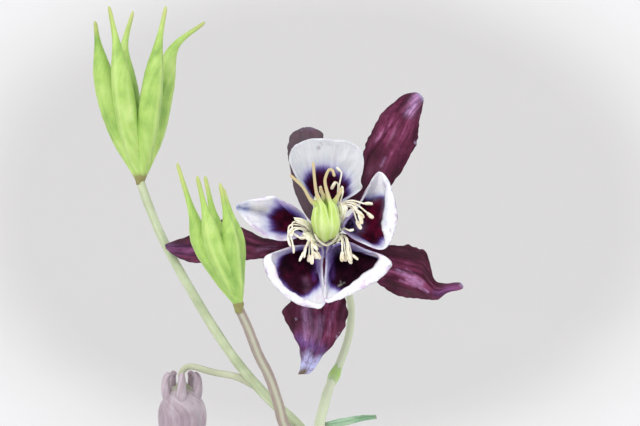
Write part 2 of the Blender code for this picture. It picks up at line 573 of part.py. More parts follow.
clear_scene()
make_vase()
make_water()
make_stem()
make_sepals()
make_petals()
make_pistil()
make_stamens()
make_pods()
make_bud()
make_bract()
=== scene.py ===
"""Looks of a cut columbine sprig in a plain glazed bottle vase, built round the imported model.

Sizes are in millimetres here, and turn into metres when a mesh is made. +Z is up, and the bloom faces -Y.
"""

import math

import bmesh
import bpy
import numpy as np
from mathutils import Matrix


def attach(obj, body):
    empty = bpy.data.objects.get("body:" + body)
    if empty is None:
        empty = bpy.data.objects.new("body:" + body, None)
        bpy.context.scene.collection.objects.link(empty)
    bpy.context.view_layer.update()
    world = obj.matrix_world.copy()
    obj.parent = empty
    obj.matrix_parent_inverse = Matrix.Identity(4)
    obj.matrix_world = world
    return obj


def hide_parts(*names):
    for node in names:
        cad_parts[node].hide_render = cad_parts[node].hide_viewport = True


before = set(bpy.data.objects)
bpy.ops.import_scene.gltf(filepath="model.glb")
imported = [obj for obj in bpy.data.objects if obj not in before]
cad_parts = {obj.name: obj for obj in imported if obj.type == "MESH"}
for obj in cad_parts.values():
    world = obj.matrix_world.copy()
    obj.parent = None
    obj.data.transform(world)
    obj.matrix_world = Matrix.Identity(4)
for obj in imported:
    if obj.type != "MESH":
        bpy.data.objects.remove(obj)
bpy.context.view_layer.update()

MM = 0.001
RIGHT, BEHIND, UP = np.eye(3)

# Where the bloom is, and the eye that its outlines are given for
BLOOM = np.array([17.0, 0.0, 229.2])
EYE = np.array([16.0, -350.0, 233.0])

# Camera: its sensor, and how wide the view is where the bloom is
SENSOR = 36.0
VIEW_WIDTH = 128.0

# Vase, turned about the Z axis: outer radius and height, from the foot to the lip
VASE_OUTSIDE = ((23.0, 0.0), (25.2, 1.6), (29.6, 16.0), (31.0, 34.0), (28.4, 54.0), (20.5, 74.0),
                (12.6, 89.0), (9.9, 102.0), (10.3, 112.0), (11.6, 117.0))
VASE_INSIDE = ((10.4, 118.0), (8.6, 112.0), (7.2, 103.0), (9.7, 90.0), (17.4, 75.0), (25.2, 54.5),
               (27.9, 34.0), (26.6, 17.0), (22.6, 5.6), (20.0, 4.0))
VASE_SIDES = 160
VASE_INSIDE_STEPS = 90
VASE_LIP = ((11.55, 117.75), (11.0, 118.2))
FOOT_HOLLOW = ((16.0, 0.9), (18.6, 0.6), (19.6, 0.0))
WATER_TOP = 68.0
WATER_CLEARANCE = 0.38
STEM_CLEARANCE = 0.35

# Main stem, from its cut end up to the fork above the lip. Its top points are given from the fork.
STEM_LEAN = 0.123
STEM_FOOT = np.array([-7.1, 0.0, 4.6])
STEM_RADIUS = 1.7
STEM_HEIGHTS = (4.6, 60.0, 104.0, 140.0)
STEM_TOP = ((-1.4, 0.0, -12.0), (0.05, 0.0, 0.6))
STEM_RADII = (1.7, 1.7, 1.7, 1.65, 1.55, 1.5)
STEM_STEPS = 150
FORK = np.array([-1.8, -44.0, 0.0])

# Receptacle that carries the bloom, as radius and depth from its front to its back
RECEPTACLE = ((0.4, 2.2), (2.1, 2.4), (2.75, 2.9), (3.0, 4.2), (3.0, 5.6), (3.15, 6.9), (2.8, 7.9),
              (1.6, 9.6), (0.7, 10.6))

# Each route below is a list of points across, up and behind the bloom's middle, as the eye sees them
BLOOM_STALK = ((0.0, 0.0, 7.0), (0.0, -0.3, 13.0), (0.6, -2.6, 21.0), (2.6, -7.2, 25.0), (5.0, -13.6, 25.5),
               (4.9, -20.0, 22.0), (2.9, -26.4, 16.0), (0.8, -31.2, 11.0), (-0.9, -37.6, 5.0), FORK)
UPPER_POD_STALK = (FORK, (-5.4, -38.8, 0.4), (-12.1, -32.4, 1.0), (-18.7, -24.5, 1.8), (-25.2, -14.4, 2.6),
                   (-31.7, -2.9, 3.4), (-35.0, 4.6, 3.8), (-36.9, 10.0, 4.0))
LOWER_POD_STALK = (FORK, (-4.6, -42.4, -1.2), (-8.1, -38.6, -4.0), (-9.5, -33.8, -8.5),
                   (-11.2, -28.8, -13.5), (-13.4, -24.4, -19.0), (-15.5, -19.0, -26.0),
                   (-17.1, -15.6, -31.0))
BUD_STALK = ((-13.5, -31.0, 1.1), (-17.5, -29.0, 3.6), (-22.5, -28.0, 8.0), (-26.8, -26.9, 11.8),
             (-28.6, -28.0, 13.0), (-28.6, -30.3, 13.2))
STALK_NODE = ((2.75, -26.7, 15.7), (1.9, -28.6, 13.8), (1.1, -30.5, 11.7))
STALK_NODE_RADII = (0.8, 1.25, 0.95)

# How far the last three rings of a grown part keep their radii, where it is rounded off or cut
ROUND_TIP = (0.9, 0.7, 0.35)
CUT_TIP = (1.0, 1.0, 1.0)

# Stalks: route, radii, steps along, how brown and how pale each is, and whether its paleness is streaks
STALK_SIDES = 18
STALKS = (
    # The bloom's stalk is pale partly as its own light green and partly as painted light that lifts the
    # shade the bloom casts on it
    (BLOOM_STALK, (0.8, 0.75, 0.8, 1.0, 1.1), 130, 0.0, 0.8, False),
    (UPPER_POD_STALK, (1.2, 1.0, 0.9, 0.85), 110, 0.1, 0.15, False),
    (LOWER_POD_STALK, (1.25, 1.1, 1.0, 0.85), 60, 0.85, 0.6, True),
    (BUD_STALK, (0.8, 0.7, 0.65, 0.65), 60, 0.4, 0.3, False),
)

# Sepals, as rows from base to tip: left edge across and up, right edge across and up, depth, and how far
# the middle bulges back
SEPALS = {
    "sepal_upper_right": (
        (0.9, 3.1, 2.5, 2.0, 7.0, 0.0), (4.0, 6.5, 5.7, 5.1, 6.6, 0.2), (6.8, 10.4, 11.8, 7.6, 4.6, 0.8),
        (7.5, 13.8, 14.2, 10.8, 3.4, 1.0), (8.1, 17.6, 16.8, 14.8, 2.2, 1.3),
        (10.0, 21.4, 18.5, 18.3, 1.2, 1.2), (12.2, 24.6, 18.7, 21.0, 0.7, 0.9),
        (15.3, 27.2, 19.2, 23.8, 0.2, 0.6), (17.8, 27.9, 19.7, 26.1, 0.0, 0.2),
        (19.0, 27.6, 19.6, 26.9, 0.0, 0.0)),
    "sepal_right": (
        (3.1, -0.2, 2.6, -1.9, 7.0, 0.0), (5.9, -0.9, 5.2, -2.9, 6.8, 0.2),
        (9.6, -2.5, 7.4, -6.6, 5.2, 0.6), (13.4, -2.7, 10.4, -10.1, 3.4, 1.1),
        (17.4, -2.8, 14.4, -12.6, 2.2, 1.3), (20.0, -4.0, 18.4, -13.3, 1.2, 1.1),
        (21.1, -7.4, 21.0, -13.5, 0.6, 0.7), (22.2, -9.7, 22.6, -13.5, 0.2, 0.3),
        (24.2, -10.3, 24.4, -12.2, 0.0, 0.2), (26.8, -10.1, 26.9, -11.6, 0.0, 0.1),
        (27.7, -10.8, 27.6, -11.3, 0.0, 0.0)),
    "sepal_lower": (
        (0.7, -2.9, -0.9, -2.9, 7.0, 0.0), (1.1, -5.4, -1.2, -5.4, 6.8, 0.2),
        (2.4, -9.6, -3.2, -9.6, 5.4, 0.8), (4.1, -14.0, -7.0, -14.0, 3.4, 1.3),
        (4.5, -16.6, -8.5, -16.2, 2.4, 1.4), (3.6, -19.6, -7.0, -19.2, 1.4, 1.2),
        (1.6, -22.4, -5.8, -21.6, 0.8, 0.9), (-0.5, -24.8, -5.0, -24.2, 0.4, 0.5),
        (-1.9, -27.0, -4.9, -26.8, 0.1, 0.3), (-3.0, -28.3, -5.4, -28.5, 0.0, 0.1)),
    "sepal_left": (
        (-2.7, -1.8, -3.1, 0.0, 7.0, 0.0), (-5.1, -3.2, -5.9, -1.3, 6.8, 0.2),
        (-8.6, -4.9, -9.4, -1.5, 5.2, 0.5), (-13.6, -5.4, -13.4, -0.9, 3.4, 0.8),
        (-19.0, -5.9, -19.4, 2.5, 2.0, 1.2), (-23.4, -6.1, -23.0, 0.9, 1.4, 1.1),
        (-26.7, -6.1, -26.4, -0.4, 1.0, 0.8), (-29.4, -5.1, -28.9, -1.3, 0.5, 0.4),
        (-31.8, -3.4, -32.0, -2.5, 0.0, 0.0)),
    "sepal_back": (
        (-2.6, 1.8, -1.1, 2.9, 7.2, 0.0), (-4.3, 4.2, -2.5, 5.4, 8.6, -0.2),
        (-6.0, 8.0, -2.6, 9.4, 11.0, -0.5), (-6.9, 12.6, -1.8, 13.8, 15.0, -0.9),
        (-7.5, 16.8, -0.4, 17.6, 19.5, -1.2), (-6.8, 19.4, -0.6, 19.8, 23.5, -0.7),
        (-4.7, 20.8, -2.6, 20.9, 24.0, 0.0)),
}
SEPAL_THICKNESS = 0.34
SEPAL_LENGTH_STEPS = 120
SEPAL_WIDTH_STEPS = 44

# Ridges and creases of each sepal: place across it (-1 to 1) at its base and tip, height, and half width
RIDGES = {
    "sepal_upper_right": (
        (-1.5, 0.6, -0.26, 0.1), (-1.7, 0.4, 0.2, 0.16), (0.1, 0.55, 0.14, 0.25), (0.75, 0.85, -0.14, 0.1)),
    "sepal_right": (
        (-0.55, -0.4, -0.16, 0.07), (-0.25, -0.1, 0.16, 0.12), (0.0, 0.05, -0.2, 0.06),
        (0.25, 0.3, 0.34, 0.16), (0.6, 0.6, -0.16, 0.06), (-0.8, -0.7, 0.08, 0.1)),
    "sepal_lower": (
        (-0.3, -0.5, 0.24, 0.1), (-0.12, -0.3, -0.22, 0.06), (0.1, -0.05, 0.1, 0.12),
        (0.22, 0.1, -0.2, 0.05), (0.5, 0.4, 0.1, 0.18), (0.75, 0.7, -0.1, 0.07)),
    "sepal_left": (
        (0.2, 0.1, -0.2, 0.07), (-0.1, -0.1, 0.16, 0.12), (-0.45, -0.5, -0.16, 0.07),
        (0.5, 0.45, 0.14, 0.12), (-0.75, -0.7, 0.1, 0.1)),
    "sepal_back": (
        (0.0, 0.0, 0.16, 0.14), (0.35, 0.3, -0.16, 0.08), (-0.35, -0.3, -0.16, 0.08),
        (0.65, 0.6, 0.1, 0.12), (-0.65, -0.6, 0.1, 0.12)),
}

# Lilac of each sepal's tip, as the share of its length where it starts and its strength, then how dull
# the whole sepal is
SEPAL_TIPS = {
    "sepal_upper_right": (0.94, 0.5, 0.0),
    "sepal_right": (0.97, 0.3, 0.0),
    "sepal_lower": (0.8, 1.0, 0.0),
    "sepal_left": (0.97, 0.1, 0.1),
    "sepal_back": (0.9, 0.1, 0.8),
}

# Petals: points round the mouth of each, from the point nearest the pistil, with the width of its white
# band there and of the margin that is folded in over the mouth, then the middle of its throat
PETALS = {
    "petal_upper": (
        ((0.1, 3.7, 1.7, 0.3, 0.1), (-2.2, 5.2, 0.8, 0.5, 0.1), (-4.5, 8.8, -1.0, 0.9, 0.12),
         (-6.6, 12.6, -2.2, 2.9, 0.15), (-7.2, 15.2, -2.7, 4.7, 0.15), (-5.8, 17.4, -3.2, 5.5, 0.2),
         (-2.6, 18.7, -3.5, 5.2, 0.2), (1.4, 18.5, -3.5, 5.0, 0.2), (5.2, 18.0, -3.2, 5.9, 0.2),
         (7.5, 15.8, -2.8, 5.3, 0.15), (7.65, 12.6, -2.4, 3.1, 0.15), (7.15, 10.4, -2.0, 2.3, 0.15),
         (7.5, 8.9, -1.5, 2.2, 0.15), (6.3, 7.7, -0.9, 1.3, 0.15), (4.4, 6.5, -0.2, 0.9, 0.12),
         (2.4, 5.0, 0.6, 0.5, 0.1)),
        (0.1, 4.65, 5.2)),
    "petal_right": (
        ((3.6, 1.2, 1.7, 1.4, 0.1), (5.0, -0.95, 0.6, 0.8, 0.12), (7.8, -2.45, -1.0, 0.9, 0.15),
         (10.9, -3.55, -2.0, 0.8, 0.3), (12.7, -2.7, -2.6, 1.2, 0.9), (14.0, 0.2, -3.6, 3.0, 2.6),
         (14.6, 3.2, -4.0, 3.7, 3.2), (13.8, 7.2, -4.0, 2.6, 2.2), (12.7, 10.4, -3.6, 4.8, 1.2),
         (11.0, 12.1, -3.2, 5.7, 0.4), (9.5, 10.8, -2.8, 4.0, 0.15), (8.2, 8.2, -2.0, 1.7, 0.15),
         (6.2, 4.9, -0.5, 1.6, 0.12)),
        (4.4, 1.5, 5.2)),
    "petal_lower_right": (
        ((1.35, -2.95, 1.6, 0.1, 0.1), (4.7, -2.0, 0.5, 1.0, 0.12), (8.0, -3.35, -1.0, 1.2, 0.15),
         (11.9, -4.75, -2.0, 3.5, 1.4), (13.4, -6.4, -2.5, 3.5, 3.0), (12.0, -8.5, -2.9, 3.4, 3.0),
         (9.6, -10.3, -3.4, 3.0, 2.8), (6.4, -12.0, -4.0, 2.2, 2.1), (3.0, -13.5, -4.5, 2.2, 1.6),
         (0.05, -14.0, -4.6, 2.9, 0.6), (-0.15, -10.4, -3.0, 1.1, 0.15), (0.12, -6.5, -1.0, 0.8, 0.12),
         (0.25, -4.6, 0.3, 0.3, 0.1)),
        (2.8, -3.7, 5.2)),
    "petal_lower_left": (
        ((-1.35, -2.95, 1.6, 0.1, 0.1), (-0.4, -4.6, 0.3, 0.9, 0.1), (-0.45, -7.0, -0.9, 1.6, 0.12),
         (-0.2, -10.4, -2.0, 1.7, 0.15), (0.15, -13.9, -2.9, 3.3, 0.3), (-1.1, -15.25, -4.0, 3.9, 1.0),
         (-4.3, -14.9, -4.6, 2.7, 1.6), (-6.4, -14.0, -4.5, 2.2, 1.7), (-8.7, -12.3, -4.2, 1.9, 1.5),
         (-10.8, -10.0, -3.6, 2.7, 1.9), (-12.1, -7.4, -3.0, 4.2, 2.3), (-12.2, -5.1, -2.0, 4.7, 1.6),
         (-9.6, -3.8, -1.2, 2.5, 0.5), (-5.2, -2.6, 0.4, 1.2, 0.12)),
        (-2.8, -3.7, 5.2)),
    "petal_left": (
        ((-3.4, 1.0, 1.7, 0.8, 0.1), (-5.4, -1.1, 0.5, 1.6, 0.12), (-8.6, -1.8, -0.9, 2.0, 0.15),
         (-11.0, -1.3, -1.5, 1.5, 0.2), (-13.1, -0.2, -1.8, 1.8, 0.2), (-15.4, 1.8, -1.7, 3.8, 0.25),
         (-17.3, 4.0, -1.3, 5.6, 0.3), (-17.7, 5.2, -1.0, 6.0, 0.3), (-15.9, 6.3, -1.0, 5.2, 0.9),
         (-12.9, 6.9, -1.0, 3.7, 1.4), (-10.6, 7.3, -1.0, 2.3, 0.9), (-8.6, 6.4, -0.6, 1.5, 0.2),
         (-6.2, 5.2, -0.1, 1.2, 0.15), (-4.1, 3.4, 1.0, 0.7, 0.12)),
        (-4.5, 1.1, 5.2)),
}

# How softly each petal's white turns violet and dark, how red and how lit its dark inside is, and how greyed
# by shade its white is
# The red also lightens each petal's dark inside, as painted light and shade that differ from petal to petal,
# and the greying of the white is painted shade
PETAL_TONES = {
    "petal_upper": (1.35, 0.6, 0.45),
    "petal_right": (0.9, 0.75, 0.05),
    "petal_lower_right": (0.85, 0.12, 0.0),
    "petal_lower_left": (0.9, 0.4, 0.0),
    "petal_left": (1.4, 0.65, 0.05),
}

# Colours of most marks of the patches below, on the petals and on the sepals
PETAL_TINTS = {"violet": (104, 66, 150), "painted_glow": (182, 160, 218), "hollow": (206, 204, 196),
               "bluish": (142, 150, 188), "mauve_sheen_and_tinge": (124, 82, 112), "smudge": (104, 88, 112)}
SEPAL_TINTS = {"dark": (56, 38, 42), "violet": (112, 84, 150), "lilac": (186, 142, 190)}

# Patches of colour by the mark they have: both ends across and up, half width and strength
PATCHES = {
    "petal_upper": {
        "smudge": ((-1.3, 16.8, -1.2, 16.9, 0.35, 0.6), (-0.8, 17.8, -0.5, 17.4, 0.25, 0.5),
            (0.6, 17.5, 2.6, 17.3, 0.3, 0.35))},
    "petal_right": {
        "lilac": ((4.4, 3.8, 5.4, 2.4, 1.3, 1.0),),
        # The pale lilac patches at the throats are painted light that lifts the shade in and by them
        "painted_glow": ((4.4, 3.2, 6.2, 1.2, 1.3, 1.0),),
        # The bluish patches on the petals are painted bluish shade
        "bluish": ((9.2, 7.0, 10.8, 7.6, 0.9, 0.5), (12.2, 9.8, 12.0, 1.4, 0.7, 0.4)),
        "smudge": ((13.0, 0.5, 13.1, 0.1, 0.2, 1.0), (14.3, 3.5, 14.6, 2.7, 0.16, 1.0),
            (13.2, 8.4, 13.4, 8.2, 0.16, 0.5))},
    "petal_lower_right": {
        "lilac": ((1.0, -3.2, 5.0, -2.6, 1.0, 0.9), (0.9, -3.8, 1.1, -10.0, 0.9, 0.8),
            (5.0, -2.6, 9.4, -4.0, 0.6, 0.6)),
        "painted_glow": ((0.7, -3.4, 0.9, -4.6, 0.5, 0.6), (1.2, -3.4, 3.6, -3.4, 0.9, 0.9)),
        "violet": ((1.5, -4.8, 1.5, -9.0, 0.5, 0.6),),
        "smudge": ((4.2, -12.0, 4.6, -12.2, 0.2, 0.4), (12.7, -6.9, 13.0, -6.6, 0.17, 0.9)),
        # On this petal the hollow tint is small cream flecks
        "hollow": ((2.7, -10.8, 3.3, -10.5, 0.2, 0.7), (3.7, -10.2, 3.9, -10.1, 0.13, 0.5),
            (3.1, -9.8, 3.15, -10.1, 0.1, 0.4)),
        # On this petal the pinkish patches are a faint tinge of the white fold
        "mauve_sheen_and_tinge": ((7.0, -10.2, 9.4, -8.9, 0.35, 0.3), (9.9, -8.9, 11.2, -8.0, 0.3, 0.25))},
    "petal_lower_left": {
        # On this petal the pinkish patch is a painted sheen on the dark inside
        "mauve_sheen_and_tinge": ((-3.9, -9.6, -3.5, -11.4, 0.7, 0.75),),
        "lilac": ((-4.6, -3.1, -1.4, -4.0, 0.9, 1.0), (-1.2, -4.0, -1.6, -10.4, 0.9, 0.8),
            (-9.4, -4.6, -5.0, -3.2, 0.6, 0.7)),
        "painted_glow": ((-3.0, -3.3, -1.2, -3.8, 0.8, 0.9), (-1.5, -4.6, -1.5, -8.0, 0.35, 0.55)),
        "violet": ((-2.0, -4.8, -2.2, -9.4, 0.5, 0.6),),
        "smudge": ((-4.2, -13.5, -3.9, -13.6, 0.2, 0.45),)},
    "petal_left": {
        # Painted bluish shade at the left petal's tip and along the sunken line from it
        "bluish": ((-18.0, 5.2, -16.0, 4.8, 1.1, 1.6), (-16.4, 4.2, -13.4, 3.4, 0.45, 0.4),
            (-12.9, 3.6, -12.3, 1.2, 0.8, 0.35)),
        # Here the hollow tint is painted greyish-beige shade, most of it under the folded upper margin
        "hollow": ((-14.6, 4.9, -11.8, 4.7, 0.8, 0.9), (-14.6, 0.9, -13.0, -0.3, 0.5, 0.3)),
        "lilac": ((-9.6, 6.2, -5.2, 3.2, 0.8, 0.8),)},
    "sepal_upper_right": {
        "dark": ((4.6, 5.8, 10.2, 12.4, 2.6, 0.9), (8.8, 18.6, 10.4, 15.0, 1.3, 0.3),
            (14.8, 21.4, 12.6, 17.2, 0.35, 0.6)),
        # The lilac at this sepal's tip is partly its own lilac and partly a painted highlight
        "lilac": ((18.4, 26.8, 17.0, 24.0, 1.0, 1.0), (11.2, 13.2, 12.0, 14.8, 0.3, 0.4)),
        "bluish": ((19.6, 27.4, 19.8, 26.4, 0.5, 0.9), (18.0, 18.0, 18.4, 17.6, 0.16, 1.0))},
    "sepal_right": {
        "dark": ((12.0, -3.6, 18.6, -4.2, 1.4, 0.75), (19.6, -5.6, 20.8, -9.4, 0.8, 0.55),
            (12.4, -9.9, 17.2, -12.4, 0.75, 1.2), (16.8, -12.2, 21.0, -13.0, 0.4, 0.9),
            (22.6, -10.6, 26.6, -10.4, 0.35, 0.6)),
        # These lilac strips are painted highlights along the ridges
        "lilac": ((14.6, -7.8, 19.4, -10.3, 0.42, 1.0), (16.4, -9.4, 20.6, -12.0, 0.3, 0.75),
            (16.4, -7.4, 19.8, -10.0, 0.2, 0.35), (15.0, -9.6, 18.0, -10.9, 0.2, 0.4)),
        "violet": ((22.4, -12.2, 26.0, -11.2, 0.8, 0.45),),
        "bluish": ((27.2, -10.6, 27.7, -10.9, 0.35, 0.7),)},
    "sepal_lower": {
        "dark": ((-7.6, -14.4, -6.0, -18.6, 1.1, 0.5), (3.9, -14.0, 2.8, -20.0, 0.9, 0.6),
            (-3.0, -15.2, -2.5, -21.0, 0.26, 0.8), (-1.0, -18.0, -1.9, -22.6, 0.2, 0.7)),
        "lilac": ((-3.8, -15.0, -3.2, -21.0, 1.1, 0.5), (-1.2, -17.2, -1.6, -20.6, 0.8, 0.4),
            (-4.3, -15.6, -4.0, -21.6, 0.3, 0.9), (-4.5, -16.4, -3.9, -21.0, 0.25, 0.5),
            (-2.9, -16.6, -3.0, -21.8, 0.2, 0.5), (-0.2, -17.0, -1.2, -22.4, 0.4, 0.35),
            (1.6, -16.0, 0.6, -20.6, 0.3, 0.3)),
        "violet": ((-4.8, -21.6, -1.4, -23.6, 1.5, 0.8),),
        "bluish": ((2.4, -20.9, 2.7, -21.4, 0.13, 1.0), (2.9, -20.1, 3.0, -20.3, 0.1, 0.9),
            (-5.9, -17.3, -5.8, -17.6, 0.1, 0.9), (-6.4, -21.4, -5.8, -23.0, 0.12, 0.7)),
        "brown": ((-5.4, -28.7, -4.2, -27.9, 0.8, 1.0),)},
    "sepal_left": {
        "dark": ((-17.0, 2.0, -11.0, -1.4, 1.2, 0.8), (-29.6, -2.0, -26.4, -0.9, 0.6, 0.5)),
        "violet": ((-31.0, -3.4, -27.0, -3.6, 1.2, 0.3),),
        "lilac": ((-13.6, -3.6, -10.0, -2.9, 0.4, 0.3),)},
}

# Creases in the petals: both ends across and up, half width, and depth (negative for a raised fold)
CREASES = {
    "petal_left": (
        (-17.4, 5.0, -12.4, 4.0, 0.8, 0.6), (-16.4, 5.9, -11.4, 6.2, 0.8, -0.5)),
    "petal_lower_left": (
        (-8.8, -6.0, -4.6, -11.6, 1.4, -0.35),),
}

# Petals: thickness, how far the outside stands off the outline, and radius of the throat. Spur: share of
# the throat's place, depth and radius of each step, how its tip narrows, and how thick its wall is. Then
# the points around a petal, the rows of each part, and how evenly the cup deepens.
PETAL_THICKNESS = 0.3
PETAL_LIFT = 0.06
THROAT_RADIUS = 1.55
SPUR_STEPS = ((1.1, 6.8, 1.25), (1.3, 10.0, 1.1), (1.42, 13.4, 1.0), (1.36, 16.2, 0.9), (1.12, 17.6, 0.85),
              (0.92, 17.2, 0.8))
SPUR_TIP = (0.93, 0.75, 0.4)
SPUR_WALL = 0.35
PETAL_AROUND = 220
PETAL_ROWS = 46
FOLD_ROWS = 9
SPUR_ROWS = 34
THROAT_ROWS = 7
CUP_CURVE = 0.8

# Depth of the finest bumps, in metres
FINE_BUMP = 0.00012

# Pistil: the middle line of its five joined carpels, then, from their root to their top, how far the middle
# of each is from that line and its radius, and the route of each style from a carpel's top
PISTIL_AXIS = ((0.1, 0.0, 1.6), (0.15, -0.1, -0.9), (0.3, 2.4, -3.5), (0.2, 5.4, -4.7))
CARPEL_SPREADS = (0.5, 0.65, 0.9, 1.2, 1.45, 1.55, 1.55)
CARPEL_RADII = (0.55, 0.8, 1.05, 1.35, 1.5, 1.15, 0.75)
CARPEL_TURNS = (162.0, 90.0, 18.0, -54.0, -126.0)
CARPEL_TWIST = 25.0
CARPEL_STEPS = 12
SHOULDER_RADIUS = 0.5
STYLE_RADIUS = 0.3
RIDGE_HALF_WIDTH = 0.17
SEAM_PLACE = 0.56
SEAM_HALF_WIDTH = 0.055
STYLES = (
    ((-2.45, 6.0, -4.9), (-3.3, 7.1, -5.2), (-4.15, 8.6, -5.6), (-5.3, 9.9, -6.0), (-7.0, 11.4, -6.4)),
    ((-1.1, 6.3, -6.0), (-1.7, 7.9, -6.1), (-2.05, 10.2, -6.1), (-2.4, 14.1, -6.2)),
    ((0.9, 6.3, -5.4), (0.3, 8.4, -5.3), (0.0, 10.4, -5.3), (0.7, 12.3, -5.4), (1.5, 12.3, -5.6),
     (1.9, 11.1, -5.9)),
    ((2.2, 6.5, -4.5), (2.9, 7.8, -4.8), (3.3, 8.9, -4.9)),
    ((-0.1, 6.9, -4.4), (-0.6, 7.9, -4.7), (-0.9, 9.1, -4.9)),
)

# Stamens: the bearing of each root on the ring, then places across and up, as the bends of its filament
# and both ends of its anther. The ring's section is given as radius and depth.
STAMEN_RING = ((2.85, 1.5), (2.85, 2.05), (2.15, 2.05), (2.15, 1.5), (2.5, 1.35))
STAMEN_ROOT = (2.5, 1.8)
STAMENS = (
    (222.0, -3.0, -1.9, -4.24, -3.94, -5.12, -5.84), (228.0, -3.1, -1.6, -3.86, -2.92, -4.22, -5.12),
    (234.0, -2.9, -2.2, -3.2, -4.52, -3.28, -6.0), (240.0, -2.6, -2.2, -2.54, -4.52, -2.6, -6.44),
    (246.0, -2.5, -2.0, -2.4, -3.94, -1.66, -5.4), (252.0, -2.0, -2.4, -1.52, -4.08, -0.92, -5.4),
    (216.0, -2.8, -1.4, -2.54, -2.32, -1.52, -3.64),
    (190.0, -4.6, 1.2, -7.0, 1.3, -7.4, -0.86, -6.8, -2.92),
    (196.0, -4.4, 0.7, -6.9, 0.5, -6.44, -2.48, -6.28, -4.24),
    (204.0, -4.8, 0.6, -6.5, 0.0, -5.0, -1.2, -3.9, -1.1),
    (182.0, -4.4, 1.9, -6.4, 1.9, -6.5, 0.3, -6.9, -0.9), (338.0, 3.3, -0.9, 3.48, -3.94, 3.4, -5.92),
    (342.0, 3.6, -1.4, 4.14, -4.68, 4.06, -5.86), (346.0, 4.1, -1.1, 4.5, -4.8, 5.3, -6.36),
    (350.0, 4.4, -1.3, 4.7, -3.6, 5.3, -5.8), (354.0, 4.6, -1.9, 5.3, -4.52, 6.62, -5.56),
    (2.0, 3.8, 0.7, 4.8, 0.3, 5.72, 0.48), (30.0, 3.2, 5.4, 5.2, 6.3, 7.88, 5.66, 9.56, 5.6),
    (36.0, 3.4, 5.2, 5.6, 5.9, 8.46, 3.84, 9.7, 2.8), (42.0, 3.2, 4.9, 5.2, 5.4, 6.26, 4.28, 7.72, 2.8),
    (24.0, 3.4, 4.5, 5.3, 4.9, 6.4, 2.22, 7.28, 0.6), (48.0, 3.2, 5.3, 5.6, 5.7, 6.74, 3.6, 7.36, 1.6),
    (70.0, 2.3, 6.3, 2.6, 9.4, 2.14, 10.0, 1.28, 8.54),
    (62.0, 2.6, 6.2, 2.8, 9.0, 3.3, 11.6, 3.1, 12.2, 2.3, 12.9), (54.0, 3.0, 5.8, 3.5, 7.6, 3.4, 9.2),
    (110.0, -0.4, 5.6, -0.7, 7.6, -0.92, 9.2))
FILAMENT_RISE = (0.55, -1.5)
FILAMENT_RADIUS = 0.17
ANTHER_RADIUS = 0.34
ANTHER_SHARES = (-0.05, 0.3, 0.7, 1.03)
ANTHER_STEPS = 22
STAMEN_DEPTH = -3.0

# Thin sheaths between the stamens and the pistil, as rows like the sepals' rows, and how violet each is
SHEATHS = (
    ((-2.6, 1.5, -2.4, -0.2, 1.2, 0.0), (-3.6, 2.3, -3.3, 0.5, -1.2, -0.5),
     (-4.8, 2.8, -4.5, 1.3, -2.6, -0.5), (-6.3, 3.0, -5.9, 2.1, -3.0, -0.2)),
    ((2.8, 1.2, 2.0, 2.2, 1.2, 0.0), (4.0, 2.9, 2.6, 3.4, -1.2, -0.6), (4.5, 4.5, 2.8, 4.9, -2.6, -0.6),
     (3.5, 5.9, 2.8, 6.0, -3.0, -0.2)),
    ((-2.6, -0.3, -1.4, -2.0, 1.2, 0.0), (-3.4, 0.1, -2.0, -2.1, -1.4, -0.5),
     (-4.1, 0.0, -3.0, -1.9, -2.2, -0.4), (-4.5, -0.3, -4.0, -1.3, -2.3, -0.1)),
    ((-1.8, 2.1, 0.0, 2.7, 1.2, 0.0), (-2.2, 4.0, -0.2, 4.4, 0.0, 0.4), (-2.2, 6.2, -0.6, 6.5, -1.2, 0.4),
     (-1.8, 7.6, -1.2, 7.6, -1.6, 0.1)),
    ((1.9, -1.7, 2.7, -0.3, 1.2, 0.0), (2.2, -1.9, 3.2, -0.3, -0.8, -0.3),
     (2.6, -1.9, 3.5, -0.6, -1.6, -0.3), (2.9, -1.8, 3.5, -1.2, -1.9, -0.1)),
    ((-1.9, -0.2, -2.2, -0.4, -1.5, 0.0), (-1.2, -1.5, -1.5, -1.8, -1.3, 0.0),
     (0.3, -2.4, 0.3, -2.85, -1.0, 0.0), (1.8, -1.5, 2.1, -1.8, -1.3, 0.0),
     (2.6, -0.1, 2.9, -0.3, -1.5, 0.0)),
    ((-1.6, -1.8, 1.6, -1.8, 1.3, 0.0), (-1.5, -2.9, 1.5, -2.9, 1.2, 0.0),
     (-0.8, -4.1, 0.8, -4.1, 1.1, 0.0), (-0.5, -5.2, 0.5, -5.2, 1.0, 0.0)),
)
SHEATH_TINTS = (0.0, 0.0, 0.0, 0.0, 0.0, 0.0, 1.0)
SHEATH_THICKNESS = 0.12

# Seed heads: the route of each follicle, from the stalk's tip to the end of its beak
POD_RADII = (0.9, 2.2, 2.5, 2.1, 0.8, 0.34)
POD_STEPS = 110
UPPER_POD = (
    ((-37.3, 10.9, 4.0), (-41.1, 20.4, 3.2), (-43.6, 28.4, 2.4), (-45.2, 36.4, 1.6),
     (-46.0, 42.2, 1.0)),
    ((-37.1, 10.9, 4.0), (-39.2, 20.4, 1.2), (-40.5, 28.4, -0.2), (-41.6, 37.0, -0.8),
     (-43.2, 45.2, -0.8)),
    ((-36.8, 10.9, 4.0), (-35.6, 20.4, 1.6), (-34.6, 28.4, 0.6), (-33.4, 37.0, 0.1),
     (-31.8, 45.2, -0.4)),
    ((-36.6, 10.9, 4.0), (-34.0, 20.4, 5.9), (-32.3, 28.8, 6.8), (-30.2, 36.8, 7.3),
     (-24.0, 42.0, 7.8)),
    ((-36.9, 10.9, 4.0), (-38.2, 20.4, 7.0), (-39.4, 28.4, 8.9), (-40.2, 36.4, 9.8),
     (-38.4, 44.2, 10.4)),
)
